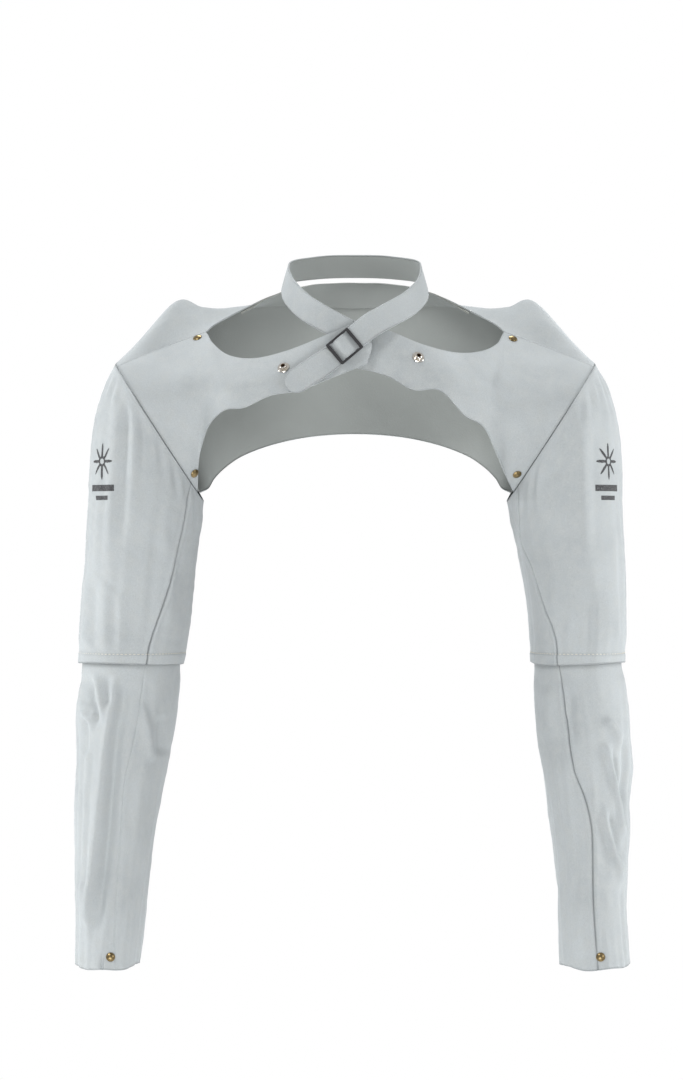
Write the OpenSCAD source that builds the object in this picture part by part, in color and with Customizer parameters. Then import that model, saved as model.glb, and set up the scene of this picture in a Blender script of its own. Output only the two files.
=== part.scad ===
// Leather welding cape sleeves: two sleeves joined over the shoulders by a yoke,
// closed at the neck by a strap that runs through a slide buckle.
// +Z is up, the front faces -Y and +X is the wearer's left. The origin is the middle
// of the neck opening, level with the two shoulder rivets. Sizes are millimetres.

/* [Shoulders] */
// Width across the two shoulder tips
shoulder_w = 486; // [430:2:590]
// Drop of each shoulder tip below the shoulder rivets
shoulder_drop = 27; // [15:1:45]
// Height of each armhole, from the shoulder tip to the underarm
armhole_h = 139; // [115:1:167]
// How far each underarm lies inside the shoulder tip
cap_w = 89; // [74:1:107]

/* [Neck and chest] */
// Width of the neck opening between the two neck corners
neck_w = 304; // [250:2:320]
// Reach of the front yokes in front of the neck corners
front_reach = 103; // [90:1:124]
// Reach of the back yoke behind the neck corners
back_reach = 110; // [92:1:132]
// Height of the middle of the back neckline
back_rise = 58; // [48:1:70]
// Drop of the middle of the back hem below the origin
back_len = 95; // [80:1:150]
// How far the right tip reaches past the middle, over the left one
tip_lap = 15; // [10:1:18]
// Width of the strip that stiffens the back neckline
band_w = 26; // [18:1:34]

/* [Sleeves] */
// Length of each sleeve, from the shoulder tip to the cuff
sleeve_len = 605; // [500:5:730]
// Length of the upper sleeve, from the shoulder tip to its hem
upper_len = 303; // [250:1:365]
// How far the lower sleeve reaches up inside the hem
hem_lap = 8; // [5:0.5:12]
// Width of the sleeve at the underarm
armpit_w = 115; // [98:1:138]
// Depth of the sleeve from front to back, down to the hem
upper_d = 144; // [120:1:160]
// Width of the sleeve at the hem
hem_w = 103; // [88:1:120]
// How far the middle of the hem lies inside the shoulder tip
hem_in = 16; // [8:1:24]
// Width of the cuff
cuff_w = 68; // [57:1:84]
// Depth of the cuff from front to back
cuff_d = 100; // [84:1:120]
// How far the middle of the cuff lies outside the shoulder tip
cuff_out = 4; // [0:1:12]
// How far the cuff hangs forward of the hem
cuff_fwd = 38; // [0:1:50]
// Extra width halfway down the forearm
forearm_full = 3; // [0:0.5:8]

/* [Leather] */
// Thickness of the split leather
leather_t = 1.4; // [1:0.1:2]
// Gap between two panels that meet at a seam
seam_gap = 0.6; // [0.4:0.1:1]
// Clearance between the lower sleeve and the hem around it
hem_gap = 1.3; // [1:0.1:2]

/* [Strap and buckle] */
// Width of the neck strap
strap_w = 24; // [19:0.5:29]
// Thickness of the neck strap
strap_t = 1.6; // [1.2:0.1:2]
// Width of the neck loop
loop_w = 142; // [120:1:170]
// How much the strap narrows where it threads the buckle
strap_pinch = 4; // [2:0.5:6]
// Length of the buckle frame along the strap
buckle_l = 28; // [24:0.5:34]
// Thickness of the buckle frame
buckle_t = 2.4; // [2:0.1:3]
// Width of the buckle's end bars
end_bar_w = 3.2; // [2.5:0.1:4]
// Width of the buckle's side rails
rail_w = 2.3; // [1.8:0.1:3]
// Diameter of the buckle's centre bar
centre_bar_d = 2.5; // [2:0.1:3]
// Space between the threaded strap and each side rail
thread_gap = 0.45; // [0.3:0.05:1]

/* [Rivets and studs] */
// Diameter of the rivet caps
cap_d = 9; // [7.5:0.1:11]
// Height of the rivet caps
cap_h = 2.2; // [1.8:0.1:3]
// Diameter of the rivet posts
post_d = 3.2; // [2.6:0.1:4]
// Diameter of the flange on the back of each rivet
back_d = 7.6; // [6.4:0.1:9]
// Clearance of a post or eyelet in the leather
hole_gap = 0.2; // [0.1:0.05:0.4]
// Diameter of the flange of each snap stud
stud_d = 12.4; // [10.4:0.1:14.8]
// Diameter of the nipple that a snap socket closes on
nipple_d = 6.6; // [5.6:0.1:8]
// Height of that nipple above its flange
nipple_h = 2.6; // [2:0.1:3.4]
// Diameter of the eyelet barrel in each snap stud
barrel_d = 4.4; // [4:0.1:5]
// Diameter of the hole through each eyelet
barrel_bore = 3.3; // [2.8:0.1:3.6]

/* [Hidden] */

suede = [0.70, 0.745, 0.76];
suede_dark = [0.55, 0.56, 0.54];
brass = [0.62, 0.50, 0.27];
nickel = [0.80, 0.79, 0.76];
black = [0.10, 0.10, 0.11];

$fn = 48;
RIGHT = 0;
LEFT = 1;

// ---- small helpers -------------------------------------------------------------
function mix(a, b, t) = a + (b - a) * t;
function ramp(x, x0, x1) = min(max((x - x0) / (x1 - x0), 0), 1);
function smooth(t) = t * t * (3 - 2 * t);
function unit(v) = v / norm(v);
function without(v, m) = v - (v * m) * m;
function flip_x(p) = [-p[0], p[1], p[2]];
function flat(rows) = [for (row = rows) each row];

// A smooth curve through the points P, with t from 0 to 1 along all of them
function segment(a, b, c, d, t) =
  0.5 * (2 * b + (c - a) * t + (2 * a - 5 * b + 4 * c - d) * t * t
         + (3 * b - a - 3 * c + d) * t * t * t);
function spline(P, t, before = undef) =
  let (n = len(P) - 1)
  let (i = min(floor(t * n), n - 1))
  let (first = is_undef(before) ? 2 * P[0] - P[1] : before)
  segment(i > 0 ? P[i - 1] : first, P[i], P[i + 1],
          i + 2 <= n ? P[i + 2] : 2 * P[n] - P[n - 1], t * n - i);

// ---- the sleeve's tube, worked out for the wearer's left ------------------------
tip_x = shoulder_w / 2;
tip_z = -shoulder_drop;
under_x = tip_x - cap_w;
under_z = tip_z - armhole_h;
hem_z = tip_z - upper_len;
cuff_z = tip_z - sleeve_len;
sleeve_y = 4;
cap_round = 3;
swing_fwd = 1.6;
square = 2 / 2.2;

// Every armhole is flat. Its plane passes through the shoulder tip and the underarm.
hole_n = unit([armhole_h, 0, -cap_w]);

// A level section: middle in X, middle in Y, half width and half depth
armpit_section = [under_x + armpit_w / 2, sleeve_y, armpit_w / 2, upper_d / 2];
hem_section = [tip_x - hem_in, sleeve_y, hem_w / 2, upper_d / 2];
cuff_section = [tip_x + cuff_out, sleeve_y, cuff_w / 2, cuff_d / 2];

function cap_section(z) =
  let (round_out = 1 - pow(1 - ramp(z, tip_z, under_z), cap_round))
  let (outer = mix(tip_x, under_x + armpit_w, round_out))
  [(outer + under_x) / 2, sleeve_y, (outer - under_x) / 2, upper_d / 2];
function fore_section(z) =
  let (t = ramp(z, hem_z, cuff_z))
  mix(hem_section, cuff_section, t)
  + [0, -cuff_fwd * pow(t, swing_fwd), forearm_full / 2 * sin(180 * t), 0];
function section(z) =
  z > under_z ? cap_section(z)
  : z > hem_z ? mix(armpit_section, hem_section, ramp(z, under_z, hem_z))
  : fore_section(z);

// phi runs from the outside of the arm at 0 over the front at 90 to the inside at 180
function bent(c) = sign(c) * pow(abs(c), square);
function tube_pt(z, phi, off) =
  let (s = section(z))
  [s[0] + (s[2] + off) * bent(cos(phi)), s[1] - (s[3] + off) * bent(sin(phi)), z];
function plane_z(x, gap) = tip_z + ((x - tip_x) * hole_n[0] - gap) / -hole_n[2];
function top_z(phi, off, gap, z = tip_z, turns = 14) =
  turns == 0 ? z : top_z(phi, off, gap, plane_z(tube_pt(z, phi, off)[0], gap), turns - 1);
function ring(phi, off = 0, gap = -seam_gap / 2) =
  tube_pt(top_z(phi, off, gap), phi, off);

// ---- the front yokes ------------------------------------------------------------
front_low_phi = 155;
seam_phi = 30;
neck_corner = [neck_w / 2, 6, 6];
seam_mid = [mix(neck_w / 2, tip_x, 0.52), 1, -12];
seam_route = [neck_corner, seam_mid, ring(seam_phi)];
corner_u = 0.75;

// How far the lower corner of the right tip lies inside the tip
tip_slant = 3;

// Lower edge, from the tip to the armhole: shares of the underarm's X, of the front
// reach and of the underarm's Z. tip_lap sets the X of the right tip.
low_edge = [
  [[-0.08, 0.96, 0.19], [0.14, 0.98, 0.27], [0.36, 0.99, 0.35], [0.545, 0.98, 0.38],
   [0.715, 0.94, 0.45], [0.845, 0.86, 0.465], [0.955, 0.72, 0.56], [1.013, 0.51, 0.735]],
  [[-0.03, 0.87, 0.205], [0.20, 0.91, 0.26], [0.37, 0.96, 0.345], [0.545, 0.97, 0.35],
   [0.70, 0.95, 0.495], [0.825, 0.875, 0.565], [0.915, 0.76, 0.73], [0.98, 0.54, 0.86]]
];
// Neckline, from the tip to the neck corner: shares of the half neck width and of the
// front reach, and the height
neck_edge = [
  [[0.026, 0.935, 7], [0.21, 0.875, -4], [0.447, 0.75, -17.5], [0.665, 0.63, -24.5],
   [0.835, 0.447, -20.5], [0.947, 0.205, -7]],
  [[-0.06, 0.77, 11], [0.197, 0.767, 3], [0.434, 0.73, -11], [0.645, 0.63, -18.5],
   [0.816, 0.456, -17], [0.94, 0.214, -8]]
];
// How far the panel's middle line stands in front of its two edges, column by column
bulge = [2, 2.5, 4, 7.5, 10, 17, 30, 40];

function low_pts(k) =
  [for (i = [0:7])
     let (s = low_edge[k][i])
     [i == 0 && k == RIGHT ? tip_slant - tip_lap : s[0] * under_x, -s[1] * front_reach,
      s[2] * under_z]];
function neck_pts(k) =
  [for (s = neck_edge[k]) [s[0] * neck_w / 2, -s[1] * front_reach, s[2]]];
function top_pt(k, i) = i < 6 ? neck_pts(k)[i] : seam_route[i - 6];
function mid_pts(k) =
  [for (i = [0:7])
     let (p = (low_pts(k)[i] + top_pt(k, i)) / 2 - [0, bulge[i], 0])
     i == 0 && k == RIGHT ? [-tip_lap, p[1], p[2] + 2] : p];

low_rows = [for (k = [RIGHT, LEFT]) concat(low_pts(k), [ring(front_low_phi)])];
mid_rows = [for (k = [RIGHT, LEFT])
              concat(mid_pts(k), [ring((front_low_phi + seam_phi) / 2)])];
neck_rows = [for (k = [RIGHT, LEFT]) concat(neck_pts(k), [neck_corner])];

function shoulder_seam(t) = spline(seam_route, t);
function top_row(k, u) =
  u < corner_u ? spline(neck_rows[k], u / corner_u)
  : shoulder_seam((u - corner_u) / (1 - corner_u)) - [0, seam_gap / 2, 0];
function front_net(k, u, v) =
  spline([spline(low_rows[k], u), spline(mid_rows[k], u), top_row(k, u)], v);
function front_pt(k, u, v) =
  let (hold = smooth(ramp(u, corner_u, 1)))
  front_net(k, u, v)
  + (hold > 0 ? hold * (ring(mix(front_low_phi, seam_phi, v)) - front_net(k, 1, v))
              : [0, 0, 0]);

// ---- the back yoke --------------------------------------------------------------
back_phis = [-155, -95, -34, seam_phi];
back_corner_u = 5 / 7;
// Half of the hem: shares of the underarm's X and of the back reach, and the height
// below the middle of the hem as a share of what is left to the underarm
hem_edge = [[0, 0.98, 0], [0.3, 1, 0.04], [0.56, 1.02, 0.155], [0.76, 0.96, 0.32],
            [0.88, 0.84, 0.50], [0.95, 0.65, 0.67], [0.985, 0.46, 0.82]];
// Half of the line across the shoulder blades
blade_line = [[0, 0.965, -32], [0.26, 0.965, -33], [0.52, 0.955, -36], [0.79, 0.91, -40],
              [0.99, 0.84, -46], [1.12, 0.78, -52], [1.25, 0.71, -60]];
// Half of the ridge that the loose leather makes behind the shoulders
ridge_line = [[0, 0.855, 22], [0.3, 0.82, 25], [0.56, 0.745, 28], [0.77, 0.655, 30],
              [0.91, 0.58, 30], [1.03, 0.52, 32], [1.21, 0.42, 36]];
// Half of the neckline: shares of the half neck width, of the back reach, of the rise
back_edge = [[0, 0.745, 1], [0.3, 0.69, 0.965], [0.55, 0.53, 0.81], [0.76, 0.365, 0.535],
             [0.935, 0.155, 0.26]];

hem_row = concat([for (s = hem_edge)
                    [s[0] * under_x, s[1] * back_reach, mix(-back_len, under_z, s[2])]],
                 [ring(back_phis[0])]);
blade_row = concat([for (s = blade_line) [s[0] * under_x, s[1] * back_reach, s[2]]],
                   [ring(back_phis[1])]);
ridge_row = concat([for (s = ridge_line) [s[0] * under_x, s[1] * back_reach, s[2]]],
                   [ring(back_phis[2])]);
back_neck_row = concat([for (s = back_edge)
                          [s[0] * neck_w / 2, s[1] * back_reach, s[2] * back_rise]],
                       [neck_corner]);

function half_row(P, u) = spline(P, u, flip_x(P[1]));
function back_top(u) =
  u < back_corner_u ? half_row(back_neck_row, u / back_corner_u)
  : shoulder_seam((u - back_corner_u) / (1 - back_corner_u)) + [0, seam_gap / 2, 0];
function back_net(u, v) =
  spline([half_row(hem_row, u), half_row(blade_row, u), half_row(ridge_row, u),
          back_top(u)], v);
function back_half(u, v) =
  let (hold = smooth(ramp(u, back_corner_u, 1)))
  back_net(u, v)
  + (hold > 0 ? hold * (ring(spline(back_phis, v)) - back_net(1, v)) : [0, 0, 0]);
function back_pt(u, v) = u < 0 ? flip_x(back_half(-u, v)) : back_half(u, v);

// ---- leather sheets -------------------------------------------------------------
// Outward normal of a grid of points at row i and column j
function grid_normal(G, i, j) =
  let (last_i = len(G) - 1)
  let (last_j = len(G[0]) - 1)
  unit(cross(G[i][min(j + 1, last_j)] - G[i][max(j - 1, 0)],
             G[min(i + 1, last_i)][j] - G[max(i - 1, 0)][j]));
// A step of one thickness inwards that stays in the planes that the seams lie in
function inward(n, at_hole, at_seam, hole) =
  let (a = at_hole ? without(n, hole) : n)
  let (b = at_seam ? without(a, [0, 1, 0]) : a)
  b / (b * n);

function quads(nr, nc, base, flip) =
  [for (i = [0:nr - 2])
     for (j = [0:nc - 2])
       let (a = base + i * nc + j)
       each flip ? [[a, a + nc, a + 1], [a + 1, a + nc, a + nc + 1]]
                 : [[a, a + 1, a + nc], [a + 1, a + nc + 1, a + nc]]];
function rim(list, shift, flip) =
  [for (i = [0:len(list) - 2])
     let (a = list[i])
     let (b = list[i + 1])
     each flip ? [[a, a + shift, b], [b, a + shift, b + shift]]
               : [[a, b, a + shift], [b, b + shift, a + shift]]];

// A closed solid between an outer and an inner grid of the same size
module sheet(outer, inner) {
  nr = len(outer);
  nc = len(outer[0]);
  n = nr * nc;
  bottom = [for (j = [0:nc - 1]) j];
  top = [for (j = [0:nc - 1]) (nr - 1) * nc + j];
  start = [for (i = [0:nr - 1]) i * nc];
  end = [for (i = [0:nr - 1]) i * nc + nc - 1];
  polyhedron(
    points = concat(flat(outer), flat(inner)),
    faces = concat(quads(nr, nc, 0, true), quads(nr, nc, n, false),
                   rim(bottom, n, false), rim(top, n, true),
                   rim(start, n, true), rim(end, n, false)));
}

// A closed tube wall between an outer and an inner grid whose columns go all round
module tube(outer, inner) {
  nr = len(outer);
  nc = len(outer[0]);
  n = nr * nc;
  wrap = [for (i = [0:nr - 2])
            for (j = [0:nc - 1])
              let (k = (j + 1) % nc)
              let (a = i * nc + j)
              let (b = i * nc + k)
              each [[a, b, a + nc], [b, b + nc, a + nc]]];
  ends = [for (j = [0:nc - 1])
            let (k = (j + 1) % nc)
            let (low = (nr - 1) * nc)
            each [[j, j + n, k], [k, j + n, k + n],
                  [low + j, low + k, low + j + n], [low + k, low + k + n, low + j + n]]];
  polyhedron(
    points = concat(flat(outer), flat(inner)),
    faces = concat(wrap, [for (f = wrap) [f[0] + n, f[2] + n, f[1] + n]], ends));
}

// ---- placing --------------------------------------------------------------------
// Puts what follows at p with its +Z along n
module at(p, n) {
  x = unit(cross(abs(n[2]) < 0.9 ? [0, 0, 1] : [1, 0, 0], n));
  y = cross(n, x);
  multmatrix([[x[0], y[0], n[0], p[0]], [x[1], y[1], n[1], p[1]],
              [x[2], y[2], n[2], p[2]], [0, 0, 0, 1]])
    children();
}
// Draws the wearer's left side as it is, or mirrored for the right
module on_side(k) {
  if (k == LEFT)
    children();
  else
    mirror([1, 0, 0]) children();
}

step = 0.01;
function front_n(k, u, v) =
  unit(cross(front_pt(k, min(u + step, 1), v) - front_pt(k, max(u - step, 0), v),
             front_pt(k, u, min(v + step, 1)) - front_pt(k, u, max(v - step, 0))));
function tube_n(z, phi) =
  unit(cross(tube_pt(z - 1, phi, 0) - tube_pt(z + 1, phi, 0),
             tube_pt(z, phi - 1, 0) - tube_pt(z, phi + 1, 0)));

// Places of the studs and rivets on the front yokes, as shares along and up the panel
stud_uv = [[0.281, 0.61], [0.245, 0.69]];
under_rivet_uv = [[0.957, 0.075], [0.951, 0.125]];
shoulder_rivet_uv = [0.773, 0.965];
cuff_rivet_phi = 94;
cuff_rivet_up = 12;

module on_front(k, uv) at(front_pt(k, uv[0], uv[1]), front_n(k, uv[0], uv[1])) children();
module at_stud(k) on_front(k, stud_uv[k]) children();
module at_under_rivet(k) on_front(k, under_rivet_uv[k]) children();
module at_shoulder_rivet(k) on_front(k, shoulder_rivet_uv) children();
module at_cuff_rivet() {
  z = cuff_z + cuff_rivet_up;
  at(tube_pt(z, cuff_rivet_phi, lower_shift(z)), tube_n(z, cuff_rivet_phi)) children();
}
// Punched through the leather around the local origin
module punch(d) translate([0, 0, -leather_t * 3]) cylinder(d = d, h = leather_t * 6);

// ---- yokes ----------------------------------------------------------------------
front_cols = 40;
front_rows = 12;
back_cols = 64;
back_rows = 15;

module front_yoke(k) {
  G = [for (i = [0:front_rows])
         [for (j = [0:front_cols]) front_pt(k, j / front_cols, i / front_rows)]];
  inner = [for (i = [0:front_rows])
             [for (j = [0:front_cols])
                G[i][j] - leather_t * inward(grid_normal(G, i, j), j == front_cols,
                  i == front_rows && j / front_cols >= corner_u, hole_n)]];
  color(suede)
    on_side(k)
      difference() {
        sheet(G, inner);
        at_stud(k) punch(barrel_d + 2 * hole_gap);
        at_under_rivet(k) punch(post_d + 2 * hole_gap);
        at_shoulder_rivet(k) punch(post_d + 2 * hole_gap);
      }
}

module back_yoke() {
  G = [for (i = [0:back_rows])
         [for (j = [0:back_cols]) back_pt(1 - 2 * j / back_cols, i / back_rows)]];
  inner = [for (i = [0:back_rows])
             [for (j = [0:back_cols])
                let (u = 1 - 2 * j / back_cols)
                G[i][j] - leather_t * inward(grid_normal(G, i, j), abs(u) == 1,
                  i == back_rows && abs(u) >= back_corner_u,
                  u > 0 ? hole_n : flip_x(hole_n))]];
  color(suede) sheet(G, inner);
}

// ---- strip round the back neckline ----------------------------------------------
band_stand = 0.14;
band_cols = 28;
band_half_u = band_cols / back_cols;
band_rows = 6;
band_row_gap = 0.004;
band_lift = 0.4;
band_end_rise = 3;

// A point of the back yoke's flat facets, so that the strip lies on them and not on the
// smooth surface that they stand for
function back_facet(u, v) =
  let (row = min(floor(v * back_rows), back_rows - 1))
  mix(back_pt(u, row / back_rows), back_pt(u, (row + 1) / back_rows), v * back_rows - row);
// Share of the back yoke's height at which the strip starts at u
function band_low(u) =
  1 - 0.1 * band_w * (1 - band_stand) / norm(back_pt(u, 0.9) - back_pt(u, 1));
// The strip's rows are the yoke's own rows, or close together where it's narrower
function band_v(u, i) =
  min(max(band_low(u) + i * band_row_gap, 1 - (band_rows - i) / back_rows), 1);

module back_neck_band() {
  base = [for (i = [0:band_rows + 1])
            [for (j = [0:band_cols])
               let (u = band_half_u * (1 - 2 * j / band_cols))
               let (edge = back_pt(u, 1))
               let (up = unit(edge - back_facet(u, 1 - 1 / back_rows)))
               let (end = band_end_rise * pow(abs(u) / band_half_u, 6))
               i > band_rows ? edge + (band_w * band_stand + end) * up
               : back_facet(u, band_v(u, i))]];
  faces = [for (lift = [band_lift + leather_t, band_lift])
             [for (i = [0:band_rows + 1])
                [for (j = [0:band_cols]) base[i][j] + lift * grid_normal(base, i, j)]]];
  color(suede_dark) sheet(faces[0], faces[1]);
}

// ---- sleeves --------------------------------------------------------------------
around = 48;
upper_rows = 10;
lower_rows = 20;
elbow_rows = 14;
elbow_in = 30;
elbow_max = 60;
elbow_y = sleeve_y - upper_d / 2 + leather_t + elbow_in;

module upper_sleeve(k) {
  gap = seam_gap / 2;
  wall = [for (off = [0, -leather_t])
            [for (i = [0:upper_rows])
               [for (j = [0:around - 1])
                  let (phi = 360 * j / around)
                  tube_pt(mix(top_z(phi, off, gap), hem_z, i / upper_rows), phi, off)]]];
  color(suede) on_side(k) tube(wall[0], wall[1]);
}

// The lower sleeve starts inside the hem. In front of the elbow line it gives way as
// far as it has to when the elbow bends, because a rigid wall can't crease there: at
// the full bend it lies inside the hem's radius or fold_clear below the hem. A row
// goes by the rows above and under it, so that the wall between two rows gives way too.
lower_off = -leather_t - hem_gap;
fold_clear = 3.5;
fold_spare = 2;
fold_run = 20;
elbow_zone = elbow_in * tan(elbow_max) + fold_run;
function lower_shift(z) =
  lower_off * (1 - 0.6 * ramp(z, hem_z - elbow_zone, hem_z - 2 * elbow_zone));
function lower_z(i) =
  i < elbow_rows ? mix(hem_z + hem_lap, hem_z - elbow_zone, i / elbow_rows)
  : mix(hem_z - elbow_zone, cuff_z, (i - elbow_rows) / (lower_rows - elbow_rows));
function below_hem(i) = max(hem_z - lower_z(min(max(i, 0), lower_rows)), 0);
function give_way(p, i) =
  let (front = elbow_y - p[1])
  let (inside = sqrt(max(front * front - fold_spare * pow(below_hem(i + 1), 2), 0)))
  let (below = below_hem(i - 1) / tan(elbow_max) - fold_clear / sin(elbow_max))
  front <= 0 ? p : [p[0], elbow_y - min(front, max(inside, below, 0)), p[2]];

module lower_sleeve(k) {
  wall = [for (t = [0, leather_t])
            [for (i = [0:lower_rows])
               [for (j = [0:around - 1])
                  let (z = lower_z(i))
                  let (phi = 360 * j / around)
                  give_way(tube_pt(z, phi, lower_shift(min(z, hem_z))), i)
                  - t * [bent(cos(phi)), -bent(sin(phi)), 0]]]];
  color(suede)
    on_side(k)
      difference() {
        tube(wall[0], wall[1]);
        at_cuff_rivet() punch(post_d + 2 * hole_gap);
      }
}

// ---- rivets ---------------------------------------------------------------------
seat = 0.15;
under_seat = 1.3;
cuff_seat = 0.5;
rivet_back_t = 0.8;
socket_depth = 1.1;
socket_gap = 0.03;

// The cap's outline: a domed arc over a short upright rim
rim_h = 0.5;
dome_h = cap_h - rim_h;
dome_r = (pow(cap_d / 2, 2) + pow(dome_h, 2)) / (2 * dome_h);
module cap_outline() {
  translate([0, cap_h - dome_r]) circle(r = dome_r, $fn = 180);
  square([cap_d / 2, rim_h]);
}
module rivet_cap() {
  color(brass)
    translate([0, 0, seat])
      difference() {
        rotate_extrude()
          intersection() {
            cap_outline();
            square([cap_d / 2, cap_h]);
          }
        translate([0, 0, -1]) cylinder(d = post_d + 2 * socket_gap, h = 1 + socket_depth);
      }
}
// back is the space between the leather and the flange behind it, which is more where
// the leather curves
module rivet_post(back = seat) {
  color(brass) {
    top = seat + socket_depth - 0.1;
    bottom = -leather_t - back - rivet_back_t;
    union() {
      translate([0, 0, bottom]) cylinder(d = post_d, h = top - bottom);
      translate([0, 0, bottom]) cylinder(d = back_d, h = rivet_back_t);
    }
  }
}

// ---- snap studs -----------------------------------------------------------------
stud_seat = 0.35;
flange_t = 0.9;
eyelet_t = 0.7;
eyelet_flange_d = 10;

module bib_stud() {
  color(nickel)
    translate([0, 0, stud_seat])
      difference() {
        union() {
          rotate_extrude()
            polygon([[0, 0], [stud_d / 2 - 0.3, 0], [stud_d / 2, 0.3],
                     [stud_d / 2 - 0.5, flange_t], [0, flange_t * 0.8]]);
          cylinder(d = nipple_d, h = flange_t + nipple_h - 0.5);
          translate([0, 0, flange_t + nipple_h - 0.5])
            cylinder(d1 = nipple_d, d2 = nipple_d - 1, h = 0.5);
        }
        translate([0, 0, -1])
          cylinder(d = barrel_d + 2 * socket_gap, h = flange_t + nipple_h + 2);
      }
}
module stud_eyelet() {
  color(nickel) {
    bottom = -leather_t - stud_seat - eyelet_t;
    difference() {
      union() {
        translate([0, 0, bottom]) cylinder(d = eyelet_flange_d, h = eyelet_t);
        translate([0, 0, bottom])
          cylinder(d = barrel_d, h = stud_seat + flange_t + nipple_h - 0.6 - bottom);
      }
      translate([0, 0, bottom - 1]) cylinder(d = barrel_bore, h = 20);
    }
  }
}

// ---- strap, buckle and the loop that holds it ------------------------------------
reach_k = front_reach / 103;
loop_k = loop_w / 142;
buckle_mid = [-11, -106 * reach_k, -15];
buckle_along = unit([-0.766, -0.03, -0.643]);
buckle_out = unit(without([0, -1, 0.03], buckle_along));
buckle_across = cross(buckle_out, buckle_along);
threaded_w = strap_w - strap_pinch;
buckle_w = threaded_w + 2 * thread_gap + 2 * rail_w;
chape_t = 1.2;
bar_gap = 0.25;
bar_r = centre_bar_d / 2;
chape_r = bar_r + bar_gap + chape_t;
chape_w = threaded_w - 2;
// The strap leans a little where it passes over the bar, more so the wider it is
strap_lean = 0.03;
over_bar = chape_r + 0.3 + strap_lean * chape_w / 2 + strap_t / 2;
under_bar = -(buckle_t / 2 + 1.8 + strap_t / 2);
tail_top = under_bar - strap_t / 2 - 0.5;

// Middle of the strap from the left tip round the neck: X, Y, Z
loop_route = [
  [14, -92, -11], [-3, -91, -2], [-19, -86, 6.7], [-38, -76, 17.7], [-51, -62, 27],
  [-62, -42, 38.4], [-69, -18, 51], [-71, 8, 62], [-62, 36, 70], [-36, 58, 75],
  [0, 66, 77], [36, 58, 75], [62, 36, 70], [70, 8, 61], [68, -20, 48],
  [58, -47, 34.4], [44, -70, 24], [30, -86, 15.5], [16, -96.5, 7]
];
tongue_route = [[-38.5, -104.5, -36], [-53, -105, -45.5], [-68, -105.5, -56]];

function on_buckle(along, out, across = 0) =
  buckle_mid + along * buckle_along + out * buckle_out + across * buckle_across;
end_bar_at = (buckle_l - end_bar_w) / 2;
threading = [
  for (s = [[-end_bar_at - 3.5, under_bar + 0.6, 0.3], [-end_bar_at, under_bar, 1],
            [-end_bar_at * 0.72, under_bar * 0.72, 1], [-4.6, over_bar * 0.42, 1],
            [0, over_bar, 0.15], [4.6, over_bar * 0.42, 1],
            [end_bar_at * 0.72, under_bar * 0.72, 1], [end_bar_at, under_bar, 1],
            [end_bar_at + 3.5, under_bar + 0.4, 0.3]])
    [each on_buckle(s[0], s[1]), strap_w - strap_pinch * s[2]]
];
function neck_side(p) = p[2] > 10 ? [p[0] * loop_k, p[1] * (p[1] < -60 ? reach_k : 1), p[2]]
                                  : [p[0], p[1] * reach_k, p[2]];
strap_route = concat(
  [for (p = loop_route) [each neck_side(p), strap_w]], threading,
  [for (p = tongue_route) [p[0], p[1] * reach_k, p[2], strap_w]]);
strap_rings = 88;

function strap_at(t) = spline(strap_route, t);
function strap_pt(t) = let (q = strap_at(t)) [q[0], q[1], q[2]];
// The strap lies flat on a cone round the neck, and on the chest in front
function strap_face(p) =
  let (up = ramp(p[2], 5, 40))
  unit([p[0] * up, mix(-60, p[1] - 5, up), 22 * up]);

module neck_strap() {
  ribs = [for (i = [0:strap_rings])
            let (t = i / strap_rings)
            let (p = strap_pt(t))
            let (along = unit(strap_pt(min(t + 0.004, 1)) - strap_pt(max(t - 0.004, 0))))
            let (out = unit(without(strap_face(p), along)))
            let (across = cross(along, out))
            let (half = strap_at(t)[3] / 2)
            [p, out * strap_t / 2, across * half]];
  G = [for (side = [-1, 0, 1]) [for (r = ribs) r[0] + r[1] + side * r[2]]];
  H = [for (side = [-1, 0, 1]) [for (r = ribs) r[0] - r[1] + side * r[2]]];
  color(suede) sheet(G, H);
}

module at_buckle()
  multmatrix([for (i = [0:2])
                [buckle_along[i], buckle_across[i], buckle_out[i], buckle_mid[i]]])
    children();

corner_r = 1.6;
module buckle_frame() {
  inner_w = buckle_w - 2 * rail_w;
  color(black)
    at_buckle()
      union() {
        difference() {
          linear_extrude(buckle_t, center = true)
            union() {
              square([buckle_l, buckle_w - 2 * corner_r], center = true);
              square([buckle_l - 2 * corner_r, buckle_w], center = true);
              for (x = [-1, 1])
                for (y = [-1, 1])
                  translate([x * (buckle_l / 2 - corner_r), y * (buckle_w / 2 - corner_r)])
                    circle(r = corner_r);
            }
          cube([buckle_l - 2 * end_bar_w, inner_w, buckle_t * 2], center = true);
        }
        rotate([90, 0, 0])
          cylinder(d = centre_bar_d, h = buckle_w - rail_w, center = true);
      }
}

chape_tail = 17;
module buckle_chape() {
  color(suede)
    at_buckle()
      rotate([90, 0, 0])
        linear_extrude(chape_w, center = true)
          difference() {
            union() {
              circle(r = chape_r);
              translate([-chape_t, tail_top - chape_t]) square([2 * chape_t, -tail_top]);
              translate([-chape_t, tail_top - chape_t]) square([chape_tail, chape_t]);
            }
            circle(r = bar_r + bar_gap);
          }
}

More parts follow.
